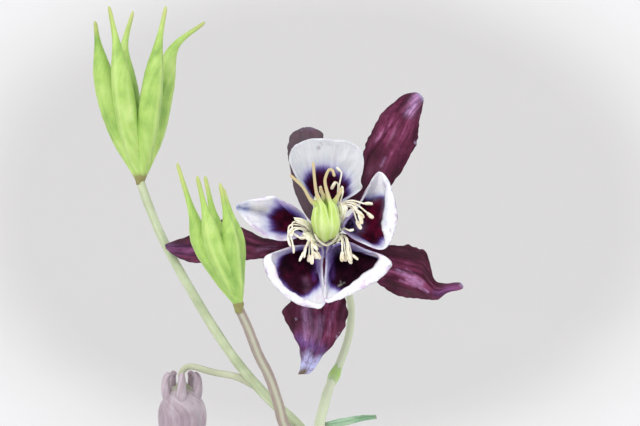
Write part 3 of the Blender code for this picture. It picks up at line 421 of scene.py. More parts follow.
LOWER_POD = (
    ((-17.4, -14.5, -31.8), (-20.6, -8.4, -32.4), (-24.4, -2.4, -32.9), (-26.4, 3.6, -33.3),
     (-29.6, 13.8, -33.8)),
    ((-17.3, -14.5, -31.8), (-19.6, -8.4, -33.8), (-22.2, -2.4, -35.2), (-23.8, 3.8, -35.7),
     (-25.6, 11.2, -36.2)),
    ((-17.2, -14.5, -31.8), (-18.2, -8.4, -33.5), (-18.8, -2.4, -34.4), (-19.6, 2.8, -34.8),
     (-21.0, 9.8, -35.2)),
    ((-17.2, -14.5, -31.8), (-18.0, -8.4, -30.6), (-17.9, -2.4, -29.6), (-18.8, 2.8, -29.1),
     (-20.4, 8.8, -28.8)),
    ((-17.3, -14.5, -31.8), (-19.4, -8.4, -30.0), (-21.0, -2.4, -28.4), (-22.4, 3.6, -27.8),
     (-24.0, 11.2, -27.3)),
)

# Girth of each seed head, as a share of the radii above
PODS = {"pod_upper": (UPPER_POD, 0.9), "pod_lower": (LOWER_POD, 0.76)}

# Brown collar under a seed head: its heights above the seed head's base, and its radii
COLLAR_RISE = (-1.5, -0.8, 0.0, 0.8)
COLLAR_RADII = (0.85, 1.0, 1.3, 1.0)

# Nodding bud: radii down its length from the top, and the reach and rise of its five short spurs
BUD_TOP = (-28.6, -30.65, 13.2)
BUD_LENGTH = 17.0
BUD_RADII = (1.6, 4.0, 5.0, 5.0, 4.3, 3.0, 1.2)
BUD_STEPS = 90
BUD_NECK = ((0.7, 0.9), (1.1, 0.3), (1.9, -0.8))
BUD_SPUR = ((2.6, -3.6), (3.4, -1.0), (3.4, 1.6), (2.5, 2.6))
BUD_SPUR_RADII = (1.3, 1.0, 0.75, 0.6)
BUD_SPUR_TURN = 58.0

# Bract at the bloom's stalk, as rows like the sepals' rows
BRACT = (
    (0.1, -38.0, 0.0, -39.0, 5.3, 0.0), (4.0, -37.1, 4.0, -38.7, 5.8, 0.2),
    (7.4, -36.5, 7.4, -37.9, 6.2, 0.2), (10.2, -36.6, 10.3, -37.3, 6.6, 0.0))

# Studio: a bowl-shaped backdrop of this floor radius, wall radius and wall height, and how fast it turns
# brighter across and up the view
# The backdrop's brightening is painted light and shade: darker behind the bloom, brighter towards the edges
# of the view
FLOOR_RADIUS = 1400.0
WALL_RADIUS = 2700.0
WALL_HEIGHT = 1150.0
BACKDROP_SIDES = 128
BACKDROP_SPREAD = (5.47, 8.22)
BACKDROP_FADE = (0.92, 1.36)

# Sky, and lights by name: place and size in metres, power in watts, and colour
SKY_COLOUR = (0.97, 0.98, 1.0, 1.0)
SKY_STRENGTH = 0.93
LIGHTS = {
    "key_light": ((-0.35, -0.75, 0.85), 0.4, 5.5, (1.0, 0.985, 0.96)),
    "fill_light": ((0.7, -0.6, 0.35), 0.6, 1.5, (0.96, 0.98, 1.0)),
}


def seen(points):
    """World places of points that show across, up and behind the bloom's middle as the eye sees them."""
    points = np.asarray(points, float)
    on_plane = BLOOM + np.stack([points[..., 0], 0 * points[..., 0], points[..., 1]], axis=-1)
    return EYE + (on_plane - EYE) * (points[..., 2:] - EYE[1]) / -EYE[1]


def as_seen(points):
    """Across and up of world points, as they show in the bloom's plane to the eye."""
    on_plane = EYE + (points - EYE) * (-EYE[1] / (points[..., 1:2] - EYE[1]))
    return (on_plane - BLOOM)[..., [0, 2]]


def curve(points, count, closed=False):
    """Smooth curve through the points, as evenly many samples along each stretch."""
    points = np.asarray(points, float)
    stretches = len(points) if closed else len(points) - 1
    if closed:
        padded = np.vstack([points[-1:], points, points[:2]])
    else:
        padded = np.vstack([2 * points[0] - points[1], points, 2 * points[-1] - points[-2]])
    places = np.linspace(0.0, stretches, count, endpoint=not closed)
    first = np.minimum(places.astype(int), stretches - 1)
    t = (places - first)[:, None]
    p0, p1, p2, p3 = (padded[first + k] for k in range(4))
    return 0.5 * (2 * p1 + (p2 - p0) * t + (2 * p0 - 5 * p1 + 4 * p2 - p3) * t ** 2
                  + (3 * p1 - p0 - 3 * p2 + p3) * t ** 3)


def eased(radii, count):
    """Column of that many radii that run smoothly through the given ones."""
    return curve(np.array(radii, float)[:, None], count)


def unit(vectors):
    return vectors / np.maximum(np.linalg.norm(vectors, axis=-1, keepdims=True), 1e-9)


def ease(values, low, high):
    """0 below low, 1 above high, and smooth in between."""
    t = np.clip((values - low) / (high - low), 0.0, 1.0)
    return t * t * (3 - 2 * t)


def hump(values, half_width):
    """1 where the values are 0, falling to 0 on both sides."""
    return np.exp(-(values / half_width) ** 2)


def ripple(x, y, seed, waves=7):
    """Smooth uneven height of about -1 to 1, as a sum of seeded waves about one unit long."""
    draw = np.random.default_rng(seed)
    total = np.zeros(np.broadcast(x, y).shape)
    for _ in range(waves):
        heading, phase = draw.uniform(0.0, 2 * math.pi, 2)
        pace = draw.uniform(0.5, 1.5)
        total += np.sin(2 * math.pi * pace * (x * math.cos(heading) + y * math.sin(heading)) + phase)
    return total / math.sqrt(waves)


def round_angles(sides):
    return np.arange(sides) * 2 * math.pi / sides


def way_along(route):
    """Column of the way from the route's start to each of its points."""
    steps = np.linalg.norm(np.diff(route, axis=0), axis=1)
    return np.concatenate([[0.0], np.cumsum(steps)])[:, None]


def turned(radii, heights, angles):
    """Rings about the Z axis, from columns of radii and heights."""
    return np.stack([radii * np.cos(angles), radii * np.sin(angles), heights + 0 * angles], axis=-1)


def rings_along(route, radii, angles, start_side=RIGHT):
    """Rings of points round a route that turn with it without twisting. Radii are one a ring or a point."""
    tangents = unit(np.gradient(route, axis=0))
    radii = np.asarray(radii, float).reshape(len(route), -1)
    side = start_side
    rings = []
    for centre, along, radius in zip(route, tangents, radii):
        side = unit(side - along * np.dot(side, along))
        spokes = np.cos(angles)[:, None] * side + np.sin(angles)[:, None] * np.cross(along, side)
        rings.append(centre + radius[:, None] * spokes)
    return np.array(rings)


def upright_side(route):
    return BEHIND if abs(unit(route[1] - route[0])[1]) < 0.7 else RIGHT


def surface_normals(grid):
    return unit(np.cross(np.gradient(grid, axis=0), np.gradient(grid, axis=1)))


def beside_line(places, ends, half_width):
    """1 on the line between two ends, given as one list of four numbers, falling to 0 beside it."""
    start = np.array(ends[:2])
    run = np.array(ends[2:]) - start
    share = np.clip((places - start) @ run / (run @ run), 0.0, 1.0)
    return hump(np.linalg.norm(places - start - share[..., None] * run, axis=-1), half_width)


def patch_marks(name, rings, labels):
    """Strength of each labelled patch of colour at every point of the rings."""
    places = as_seen(rings)
    marks = {label: 0 * places[..., 0] for label in labels}
    for label, patches in PATCHES.get(name, {}).items():
        for *ends, half_width, strength in patches:
            marks[label] = np.maximum(marks[label], strength * beside_line(places, ends, half_width))
    return marks


def spread_out(values, shape):
    """Values repeated to rows and columns of that shape. Vectors keep their three numbers."""
    return np.broadcast_to(values, (*shape, 3) if np.ndim(values) == 3 else shape)


def flow_mark(across, along, shift):
    """Place on a grown part across and along its fibres, shifted so that no two parts look alike."""
    return np.stack(np.broadcast_arrays(across, along, shift), axis=-1)


class Body:
    """Points, faces and marks of one piece, gathered ring by ring."""

    def __init__(self):
        self.points = []
        self.faces = []
        self.marks = {}
        self.count = 0

    def add(self, rings, capped=True, **marks):
        """Adds rings of points, joined into a skin, with a mark of each kind for each point."""
        rows, around = rings.shape[:2]
        corner = self.count + np.arange((rows - 1) * around).reshape(rows - 1, around)
        beside = np.roll(corner, -1, axis=1)
        quads = np.stack([corner, beside, beside + around, corner + around], axis=-1)
        self.faces += quads.reshape(-1, 4).tolist()
        if capped:
            last = self.count + (rows - 1) * around
            self.faces.append(list(range(self.count + around - 1, self.count - 1, -1)))
            self.faces.append(list(range(last, last + around)))
        self.points.append(rings.reshape(-1, 3))
        for label, values in marks.items():
            full = spread_out(values, (rows, around))
            self.marks.setdefault(label, []).append(full.reshape(rows * around, -1))
        self.count += rows * around

    def add_grown(self, route, radii, shape, side, length, shift, tip=ROUND_TIP, **marks):
        """Adds a skin round a route, with radii multiplied by its shape, and the flow mark for fibres."""
        angles = round_angles(shape.shape[1])
        full = radii * shape
        full[-3:] *= np.array(tip)[:, None]
        flow = flow_mark(angles * radii, length, shift)
        self.add(rings_along(route, full, angles, side), flow=flow, **marks)

    def add_tube(self, points, radii, samples, sides, marks, flutes, flute, seed, tip=ROUND_TIP):
        """Adds a fluted, slightly uneven tube through the points. Its marks are blush, pale and foot."""
        route = curve(points, samples)
        angles = round_angles(sides)
        length = way_along(route)
        shape = 1 + flute * np.cos(flutes * angles + 0.4 * seed)
        shape = shape + 0.03 * ripple(angles / 2.0, length / 5.0, seed)
        self.add_grown(route, eased(radii, samples).clip(0.04), shape, upright_side(route), length,
                       5.1 * seed, tip, **dict(zip(("blush", "pale", "foot"), marks)))

    def add_leaf(self, grid, across, lift, thickness, **marks):
        """Adds a thin leaf: the grid raised by its lift, with both faces a thickness apart at the middle."""
        normals = surface_normals(grid)
        normals *= -np.sign(normals[:, :, 1].mean())
        raised = grid + normals * lift[..., None]
        normals = surface_normals(raised) * np.sign(np.sum(surface_normals(raised) * normals))
        half = thickness / 2 * (0.35 + 0.65 * np.sqrt(1 - 0.98 * across ** 2))
        away = normals * half[..., None]
        doubled = {}
        for label, values in marks.items():
            values = spread_out(values, lift.shape)
            doubled[label] = np.concatenate([values, values[:, ::-1]], axis=1)
        self.add(np.concatenate([raised + away, (raised - away)[:, ::-1]], axis=1), **doubled)


def add_object(name, data):
    made = bpy.data.objects.new(name, data)
    bpy.context.scene.collection.objects.link(made)
    return made


def make_object(name, body, material):
    """Makes the gathered body into one smooth object with its marks."""
    mesh = bpy.data.meshes.new(name)
    mesh.from_pydata((np.concatenate(body.points) * MM).tolist(), [], body.faces)
    for label, parts in body.marks.items():
        values = np.concatenate(parts)
        kind, key = ("FLOAT_VECTOR", "vector") if values.shape[1] == 3 else ("FLOAT", "value")
        layer = mesh.attributes.new(label, kind, "POINT")
        layer.data.foreach_set(key, values.astype(np.float32).ravel())
    shell = bmesh.new()
    shell.from_mesh(mesh)
    bmesh.ops.recalc_face_normals(shell, faces=shell.faces)
    shell.to_mesh(mesh)
    shell.free()
    mesh.materials.append(material)
    mesh.shade_smooth()
    return add_object(name, mesh)


def make_piece(name, body, material, slot, *nodes):
    """Makes a piece that rides on the root and stands for the named CAD nodes."""
    piece = make_object(name, body, material)
    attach(piece, "root")
    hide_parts(*nodes)


def shade(red, green, blue):
    """Linear colour of a display colour given as 0 to 255 a channel."""
    channels = (c / 255 for c in (red, green, blue))
    return (*(((c + 0.055) / 1.055) ** 2.4 if c > 0.04 else c / 12.92 for c in channels), 1.0)


class Paint:
    """Builds one node material in layers. A colour is given as 0 to 255 a channel, and a word is a mark."""

    def __init__(self, name, **settings):
        self.material = bpy.data.materials.new(name)
        self.material.use_nodes = True
        self.tree = self.material.node_tree
        self.shader = self.tree.nodes["Principled BSDF"]
        self.object_place = self.node("TexCoord", {}).outputs["Object"]
        self.colour = None
        for socket, value in settings.items():
            self.shader.inputs[socket.replace("_", " ")].default_value = value

    def node(self, kind, inputs, **settings):
        """Adds a node, with each input set to a value, a mark or another node's output."""
        node = self.tree.nodes.new("ShaderNode" + kind)
        for key, value in settings.items():
            setattr(node, key, value)
        for key, value in inputs.items():
            if isinstance(value, str):
                value = self.node("Attribute", {}, attribute_name=value).outputs["Fac"]
            if isinstance(value, bpy.types.NodeSocket):
                self.tree.links.new(value, node.inputs[key])
            else:
                node.inputs[key].default_value = value
        return node

    def noise(self, scale, detail=3.0, roughness=0.55, stretch=(1.0, 1.0, 1.0), place=None):
        """Noise over the object's own place in metres, or over another place."""
        place = self.node("Mapping", {"Vector": place or self.object_place, "Scale": stretch}).outputs[0]
        inputs = {"Vector": place, "Scale": scale, "Detail": detail, "Roughness": roughness}
        return self.node("TexNoise", inputs).outputs["Fac"]

    def fibres(self, across, along, detail=3.0):
        """Noise that follows a grown part, as waves a millimetre across and along its fibres."""
        flow = self.node("Attribute", {}, attribute_name="flow").outputs["Vector"]
        return self.noise(1.0, detail, stretch=(across, along, 1.0), place=flow)

    def dots(self, scale, size, strength=1.0):
        """Round dots of that size, as a share of the space between them."""
        cells = self.node("TexVoronoi", {"Vector": self.object_place, "Scale": scale}).outputs["Distance"]
        return self.span(cells, 0.0, size, strength, 0.0)

    def maths(self, operation, first, *others):
        """Takes the values together, one after another."""
        for other in others:
            first = self.node("Math", {0: first, 1: other}, operation=operation).outputs[0]
        return first

    def plus(self, *values):
        return self.maths("ADD", *values)

    def times(self, *values):
        return self.maths("MULTIPLY", *values)

    def span(self, value, low, high, to_low=0.0, to_high=1.0):
        """Value carried from one range to another, and held at its ends."""
        inputs = {"Value": value, "From Min": low, "From Max": high, "To Min": to_low, "To Max": to_high}
        return self.node("MapRange", inputs).outputs[0]

    def sway(self, noise, low, high):
        """Noise carried to a range that most of it fills."""
        return self.span(noise, 0.3, 0.7, low, high)

    def ramp(self, value, *stops):
        """Colour that runs through stops of (place, colour)."""
        node = self.node("ValToRGB", {"Fac": value})
        elements = node.color_ramp.elements
        while len(elements) < len(stops):
            elements.new(0.5)
        for element, (place, colour) in zip(elements, stops):
            element.position = place
            element.color = shade(*colour)
        return node.outputs["Color"]

    def tint(self, colour, *shares):
        """Lays a colour, or another node's colour, over what is there, by the shares multiplied."""
        if isinstance(colour, tuple):
            colour = shade(*colour)
        inputs = {0: self.times(*shares), 6: self.colour, 7: colour}
        self.colour = self.node("Mix", inputs, data_type="RGBA").outputs[2]

    def finish(self, height=None, depth=None, roughness=None):
        """Joins the colour, a bump of that depth in metres and the roughness to the shader."""
        self.tree.links.new(self.colour, self.shader.inputs["Base Color"])
        if height is not None:
            bump = self.node("Bump", {"Height": height, "Distance": depth, "Strength": 1.0})
            self.tree.links.new(bump.outputs[0], self.shader.inputs["Normal"])
        if roughness is not None:
            self.tree.links.new(roughness, self.shader.inputs["Roughness"])
        return self.material


def petal_bands(paint, mark, uneven):
    """White, violet and dark bands inwards from the margin, a lilac kind of them, and the maroon inside."""
    place = paint.span(mark, -1.5, 2.5)
    paint.colour = paint.ramp(
        place, (0.0, (235, 235, 240)), (0.2, (224, 225, 239)), (0.33, (200, 200, 230)),
        (0.43, (148, 140, 190)), (0.52, (94, 74, 136)), (0.62, (62, 33, 80)), (0.74, (44, 13, 42)),
        (1.0, (36, 7, 26)))
    violets = paint.ramp(place, (0.0, (196, 188, 232)), (0.3, (146, 128, 204)), (0.5, (88, 62, 142)),
                         (0.7, (48, 18, 62)), (1.0, (36, 7, 30)))
    paint.tint(violets, "lilac")
    # Red and painted light: a higher red mark gives a redder and lighter maroon inside
    redness_and_light = paint.plus("red", paint.sway(uneven, -0.4, 0.4))
    inner = paint.ramp(redness_and_light, (0.0, (22, 4, 15)), (0.5, (46, 8, 27)), (1.0, (92, 10, 42)))
    paint.tint(inner, paint.span(mark, 0.8, 1.7))


def petal_paint():
    """White margin with faint veins and specks, a violet edge, a dark maroon inside, and painted shade,
    light and sheen.
    """
    paint = Paint("petal_tissue", Roughness=0.6, Subsurface_Weight=0.06, Subsurface_Scale=0.0004,
                  Specular_IOR_Level=0.06)
    streaks = paint.fibres(1.5, 0.2)
    fine = paint.fibres(4.2, 0.4)
    uneven = paint.noise(420.0)
    cloud = paint.noise(190.0, 2.0)
    shift = paint.plus(paint.span(streaks, 0.25, 0.75, -0.14, 0.14), paint.sway(cloud, -0.2, 0.2))
    mark = paint.plus("mark", shift)
    petal_bands(paint, mark, uneven)
    white = paint.span(mark, -0.8, 0.3, 1.0, 0.0)
    # Painted shade: the white of a petal that faces away from the light turns greyish, with fewer lilac
    # blotches there
    clean = paint.span("grey", 0.0, 0.5, 1.0, 0.0)
    paint.tint((196, 201, 206), "grey", white)
    paint.tint((158, 162, 178), paint.span(fine, 0.5, 0.75, 0.0, 0.3), white)
    # Painted shade: greyish along the sunken creases
    paint.tint((168, 168, 180), "crease", 0.4)
    paint.tint((214, 184, 218), paint.span(uneven, 0.46, 0.64, 0.0, 0.55), paint.span(cloud, 0.44, 0.58),
               clean, white)
    paint.tint((186, 160, 206), paint.span("inward", 0.0, 1.0, 0.8, 0.0), paint.span(uneven, 0.48, 0.62),
               clean, white)
    paint.tint((88, 50, 96), paint.dots(900.0, 0.16), paint.span("inward", 0.2, 2.2, 1.0, 0.0),
               paint.span(uneven, 0.52, 0.6))
    broken = paint.span(uneven, 0.35, 0.6, 0.3, 1.0)
    # Patches: violet and smudges are the tissue's own; bluish and hollow are painted shade, with some cream
    # flecks; the pale lilac at the throats is painted light; the pinkish patch is partly a painted sheen
    for label, colour in PETAL_TINTS.items():
        paint.tint(colour, label, broken)
    outer = paint.ramp(paint.span("mark", -3.0, 12.0), (0.0, (240, 238, 244)), (0.2, (205, 192, 218)),
                       (0.42, (120, 80, 120)), (1.0, (82, 40, 66)))
    paint.tint(outer, "outer")
    grain = paint.times(uneven, paint.span(mark, -0.5, 0.5, 1.2, 0.0))
    return paint.finish(paint.plus(fine, paint.times(streaks, 0.6), grain), FINE_BUMP)


def petal_wall(name, rim, base, middle, around, index):
    """Outside and inside of the cup, then how far in from the rim each point is, and how much painted shade
    its creases lay.
    """
    share = (np.linspace(0.0, 1.0, PETAL_ROWS) ** 1.35)[:, None]
    wall = rim * (1 - share[..., None]) + base * share[..., None]
    deep = share ** CUP_CURVE
    wall[:, :, 1] = rim[:, 1] * (1 - deep) + base[:, 1] * deep
    inward = share * np.linalg.norm((base - rim)[:, [0, 2]], axis=1)
    crease = 0 * inward
    for *ends, half_width, depth in CREASES.get(name, ()):
        line = beside_line(as_seen(wall), ends, half_width)
        wall[:, :, 1] += depth * line
        crease = crease + line * (depth > 0) * (inward > 0.3)
    folds = ripple(around / 3.1 + inward * 0.03, inward / 9.0, index + 60)
    normals = surface_normals(np.concatenate([wall[:, -1:], wall, wall[:, :1]], axis=1))[:, 1:-1]
    normals *= np.sign(np.sum(normals[2] * (middle - rim)))
    wall += normals * (0.1 * folds * ease(share, 0.0, 0.3) * ease(1 - share, 0.0, 0.3))[..., None]
    outside = wall + normals * PETAL_LIFT
    return outside, outside + normals * PETAL_THICKNESS, inward, crease


def petal_flap(rim, base, fold, around, index):
    """Margin that arches in over the mouth, its lining, and how far in each of its rows is."""
    inwards = unit((base - rim) * (RIGHT + UP))
    t = np.linspace(0.0, 1.0, FOLD_ROWS)[:, None]
    arch = fold * (0.34 * np.sin(math.pi * t ** 0.8) - 0.1 * t ** 2)
    uneven = 1 + 0.03 * ripple(around / 3.2, 0.0, index + 80) * ease(fold, 0.4, 1.2)
    flap = rim + inwards * (fold * uneven * t)[..., None]
    flap[:, :, 1] -= arch + 0.03 * fold * ripple(around / 1.3, t * 0.8, index + 90)
    lining = flap[::-1].copy()
    lining[:, :, 1] += np.minimum(0.22, fold * 0.5)
    return flap, lining[1:-1], t * fold


def petal_spur(throat, middle, angles):
    """Hooked spur behind the throat, and the short hollow at its start."""
    out = throat[0] * RIGHT + throat[1] * UP
    places = [middle] + [BLOOM + out * reach + depth * BEHIND for reach, depth, _ in SPUR_STEPS]
    route = curve(places, SPUR_ROWS)
    radii = eased([THROAT_RADIUS] + [radius for *_, radius in SPUR_STEPS], SPUR_ROWS)[:, 0]
    radii[-3:] *= SPUR_TIP
    spur = rings_along(route, radii, -angles)[1:]
    hollow = rings_along(route[:THROAT_ROWS], radii[:THROAT_ROWS] - SPUR_WALL, -angles)[2:]
    return spur[::-1], hollow


def petal_rim(mouth, middle, index):
    """Uneven rim of a petal, each point's angle about the throat, and the way around to it."""
    rim = curve(seen(mouth), PETAL_AROUND, closed=True)
    steps = np.linalg.norm(np.diff(rim, axis=0, append=rim[:1]), axis=1)
    around = np.cumsum(steps) - steps[0]
    angles = np.arctan2(rim[:, 2] - middle[2], rim[:, 0] - middle[0])
    waves = 0.004 * ripple(around / 3.0, 0.0, index) + 0.002 * ripple(around / 1.1, 0.0, index + 40)
    rim = rim + (rim - middle) * waves[:, None]
    rim[:, 1] += 0.14 * ripple(around / 4.0, 0.0, index + 20)
    return rim, angles, around


def petal(name, mouth, throat, index, material):
    """Thin cup with a rolled or folded margin, narrowed to a throat and drawn out into a hooked spur."""
    blend, red, grey = PETAL_TONES[name]
    mouth = np.array(mouth)
    middle = seen(throat)
    rim, angles, around = petal_rim(mouth[:, :3], middle, index)
    band, fold = curve(mouth[:, 3:], PETAL_AROUND, closed=True).clip(0.08).T
    base = middle + THROAT_RADIUS * np.stack([np.cos(angles), 0 * angles, np.sin(angles)], axis=1)
    outside, inside, inward, crease = petal_wall(name, rim, base, middle, around, index)
    flap, lining, folded = petal_flap(rim, base, fold, around, index)
    spur, hollow = petal_spur(throat, middle, angles)
    parts = (spur, outside[::-1], flap, lining, inside, hollow)
    lengths = [len(part) for part in parts]
    rings = np.concatenate(parts)
    beyond_spur = np.linspace(12.0, 0.5, len(spur))[:, None] + 0 * band
    beyond_hollow = np.linspace(0.5, 6.0, len(hollow))[:, None] + 0 * band
    deepest = inward.max()
    way = np.concatenate([deepest + beyond_spur, inward[::-1], folded, folded[-2:0:-1], inward,
                          deepest + beyond_hollow])
    from_bloom = np.linalg.norm((rim - BLOOM)[:, [0, 2]], axis=1)
    softness = blend * (2.1 - 1.1 * ease(from_bloom, 5.0, 12.0))
    on_flap = band * 1.4 + 1.5 * ease(fold, 0.5, 1.5)
    within = band - 0.3 * fold - 1.3 * ease(fold, 0.9, 2.2)
    start = np.repeat([band, band, on_flap, on_flap, within, band], lengths, axis=0)
    outer = np.repeat([1.0, 1.0, 0.0, 0.0, 0.0, 0.0], lengths)[:, None]
    creased = np.zeros(way.shape)
    creased[-len(hollow) - len(inside):-len(hollow)] = crease
    flow = flow_mark(around, way, 13.7 * index)
    patches = patch_marks(name, rings, ("lilac", *PETAL_TINTS))
    patches["lilac"] = np.maximum(patches["lilac"], 1 - ease(from_bloom, 3.2, 7.5))
    body = Body()
    body.add(rings, mark=(way - start) / softness, outer=outer, inward=way, crease=creased, red=red,
             grey=grey, flow=flow, **patches)
    make_piece(name + "_fine", body, material, "petal", name)


def sepal_paint():
    """Maroon leaf tissue with painted highlight and shade on its broad ridges, dark veins and edges, and
    patches of lilac, dark and brown.
    """
    paint = Paint("sepal_tissue", Roughness=0.6, Subsurface_Weight=0.04, Subsurface_Scale=0.0004,
                  Specular_IOR_Level=0.12)
    veins = paint.fibres(1.1, 0.1, 4.0)
    lines = paint.fibres(3.4, 0.16, 2.0)
    mottle = paint.noise(750.0, 5.0, 0.65)
    cloud = paint.noise(150.0, 2.0)
    # Painted highlight and shade: lighter on the ridges and darker in the creases, by the relief mark
    level = paint.plus(paint.span("relief", -0.3, 0.34, 0.15, 0.8), paint.sway(veins, -0.24, 0.24),
                       paint.sway(mottle, -0.14, 0.14), paint.span(cloud, 0.35, 0.65, -0.16, 0.16))
    paint.colour = paint.ramp(level, (0.0, (42, 14, 28)), (0.3, (70, 24, 45)), (0.55, (96, 38, 65)),
                              (0.8, (126, 60, 94)), (1.0, (168, 108, 146)))
    paint.tint((48, 16, 34), paint.span(lines, 0.56, 0.68, 0.0, 0.5))
    paint.tint((50, 26, 36), "edge", paint.sway(mottle, 0.35, 0.75))
    broken = paint.times(paint.span(mottle, 0.3, 0.6, 0.4, 1.0), paint.span(lines, 0.4, 0.66, 1.0, 0.5))
    for label, colour in SEPAL_TINTS.items():
        paint.tint(colour, label, broken)
    paint.tint((168, 132, 158), paint.dots(1500.0, 0.22, 0.35), paint.span(mottle, 0.58, 0.7))
    paint.tint((84, 72, 78), "dull")
    paint.tint((182, 184, 226), "tip", paint.span(mottle, 0.34, 0.56, 0.35, 1.0))
    paint.tint((176, 172, 206), "bluish", broken)
    paint.tint((104, 88, 70), "brown")
    raised = paint.plus(paint.times(veins, 2.0), mottle)
    height = paint.maths("SUBTRACT", raised, paint.span(lines, 0.5, 0.7, 0.0, 0.6))
    return paint.finish(height, FINE_BUMP, paint.sway(mottle, 0.52, 0.68))


def leaf_surface(rows, length_steps, width_steps):
    """Middle surface of a leaf, with its way from base to tip and across it from -1 to 1."""
    rows = np.array(rows)
    left = curve(seen(rows[:, [0, 1, 4]]), length_steps)[:, None]
    right = curve(seen(rows[:, 2:5]), length_steps)[:, None]
    bulge = curve(rows[:, 5:], length_steps)
    even = np.linspace(-1.0, 1.0, width_steps)
    across = -np.cos((even + 1) * math.pi / 2) * 0.5 + even * 0.5
    s = (across[:, None] + 1) / 2
    grid = left * (1 - s) + right * s
    grid[:, :, 1] += bulge * 4 * s[:, 0] * (1 - s[:, 0])
    along = np.linspace(0.0, 1.0, length_steps)[:, None]
    return grid, along, across[None]


def sepal(name, rows, index, material):
    """Sepal with its ridges, creases and uneven edges."""
    grid, along, across = leaf_surface(rows, SEPAL_LENGTH_STEPS, SEPAL_WIDTH_STEPS)
    centre = grid[:, SEPAL_WIDTH_STEPS // 2]
    length = way_along(centre)
    width = np.linalg.norm(grid[:, -1] - grid[:, 0], axis=1)[:, None]
    room = np.minimum(1.0, width / 6.0)
    relief = 0 * along + 0 * across
    for base, tip, height, half_width in RIDGES[name]:
        line = base + (tip - base) * along + 0.04 * np.sin(9 * along + 5 * base)
        relief = relief + height * hump(across - line, half_width)
    relief = relief * room * ease(along, 0.06, 0.3)
    relief = relief + 0.07 * room * ripple(across * width / 5.0, length / 7.0, index)
    margin = np.abs(across) ** 4
    frill = 0.26 * room * margin * ripple(length / 4.2 + 2.0 * np.sign(across), 0.0, index + 30)
    outward = (grid - centre[:, None]) * 0.02 * margin[..., None]
    grid = grid + outward * ripple(length / 1.9 + 3.0 * np.sign(across), 0.0, index + 50)[..., None]
    start, strength, dull = SEPAL_TIPS[name]
    uneven = along + 0.015 * ripple(across * 1.2, along * 4, index + 70)
    tip = strength * ease(uneven, start - 0.07, start + 0.07)
    flow = flow_mark(across * width / 2, length, 11.3 * index)
    patches = patch_marks(name, grid, ("dark", "violet", "lilac", "bluish", "brown"))
    body = Body()
    body.add_leaf(grid, across, relief + frill, SEPAL_THICKNESS, relief=relief, tip=tip,
                  edge=np.abs(across) ** 6, dull=dull, flow=flow, **patches)
    make_piece(name + "_fine", body, material, "sepal", name)


def plant_paint(name, greens, blush, foot, vein_scale, **settings):
    """Plant tissue: lengthwise fibres and mottling between three colours, with two more colours by mark."""
    paint = Paint(name, **settings)
    fibres = paint.fibres(vein_scale, vein_scale * 0.06)
    mottle = paint.noise(380.0, 4.0, 0.6)
    cloud = paint.noise(110.0, 2.0)
    level = paint.plus(paint.sway(fibres, 0.1, 0.5), paint.sway(mottle, -0.1, 0.2),
                       paint.sway(cloud, -0.15, 0.35))
    paint.colour = paint.ramp(level, *zip((0.0, 0.5, 1.0), greens))
    spread = paint.span(mottle, 0.25, 0.6, 0.75, 1.0)
    paint.tint(blush, "blush", spread)
    paint.tint(greens[-1], "pale")
    paint.tint(foot, "foot", spread)
    height = paint.plus(fibres, paint.times(mottle, 0.5))
    return paint.finish(height, 0.00008, paint.sway(mottle, 0.4, 0.54))


def stem_point(height):
    return STEM_FOOT + np.array([STEM_LEAN, 0.0, 1.0]) * (height - STEM_FOOT[2])


def make_stem():
    """Cut main stem, its stalks, the receptacle and the swollen node."""
    material = plant_paint("stem_tissue", ((122, 138, 98), (166, 181, 142), (204, 212, 184)),
                           (146, 122, 122), (160, 194, 108), 1.6, Roughness=0.5, Specular_IOR_Level=0.4,
                           Subsurface_Weight=0.08, Subsurface_Scale=0.001)
    body = Body()
    main = [stem_point(height) for height in STEM_HEIGHTS] + list(seen(FORK) + STEM_TOP)
    rise = np.linspace(0.0, 1.0, STEM_STEPS)[:, None]
    body.add_tube(main, STEM_RADII, STEM_STEPS, 26, (0.15 + 0.25 * rise, 0.0, 0.0), 9, 0.03, 1, CUT_TIP)
    streaks = np.clip(-np.cos(3 * round_angles(STALK_SIDES) + 0.6), 0.0, 1.0)
    for k, (route, radii, samples, blush, pale, streaky) in enumerate(STALKS):
        marks = (blush, pale * streaks if streaky else pale, 0.0)
        body.add_tube(seen(route), radii, samples, STALK_SIDES, marks, 6, 0.04, k + 2, CUT_TIP)
    radii, depths = zip(*RECEPTACLE)
    body.add_tube([BLOOM + depth * BEHIND for depth in depths], radii, 40, 30, (0.2, 0.2, 0.3), 5, 0.03, 7)
    swell = np.sin(np.linspace(0.0, math.pi, 30))[:, None]
    body.add_tube(seen(STALK_NODE), STALK_NODE_RADII, 30, 20, (0.0, 0.2, swell), 4, 0.04, 8)
    make_piece("stem_fine", body, material, "stem", "stem")


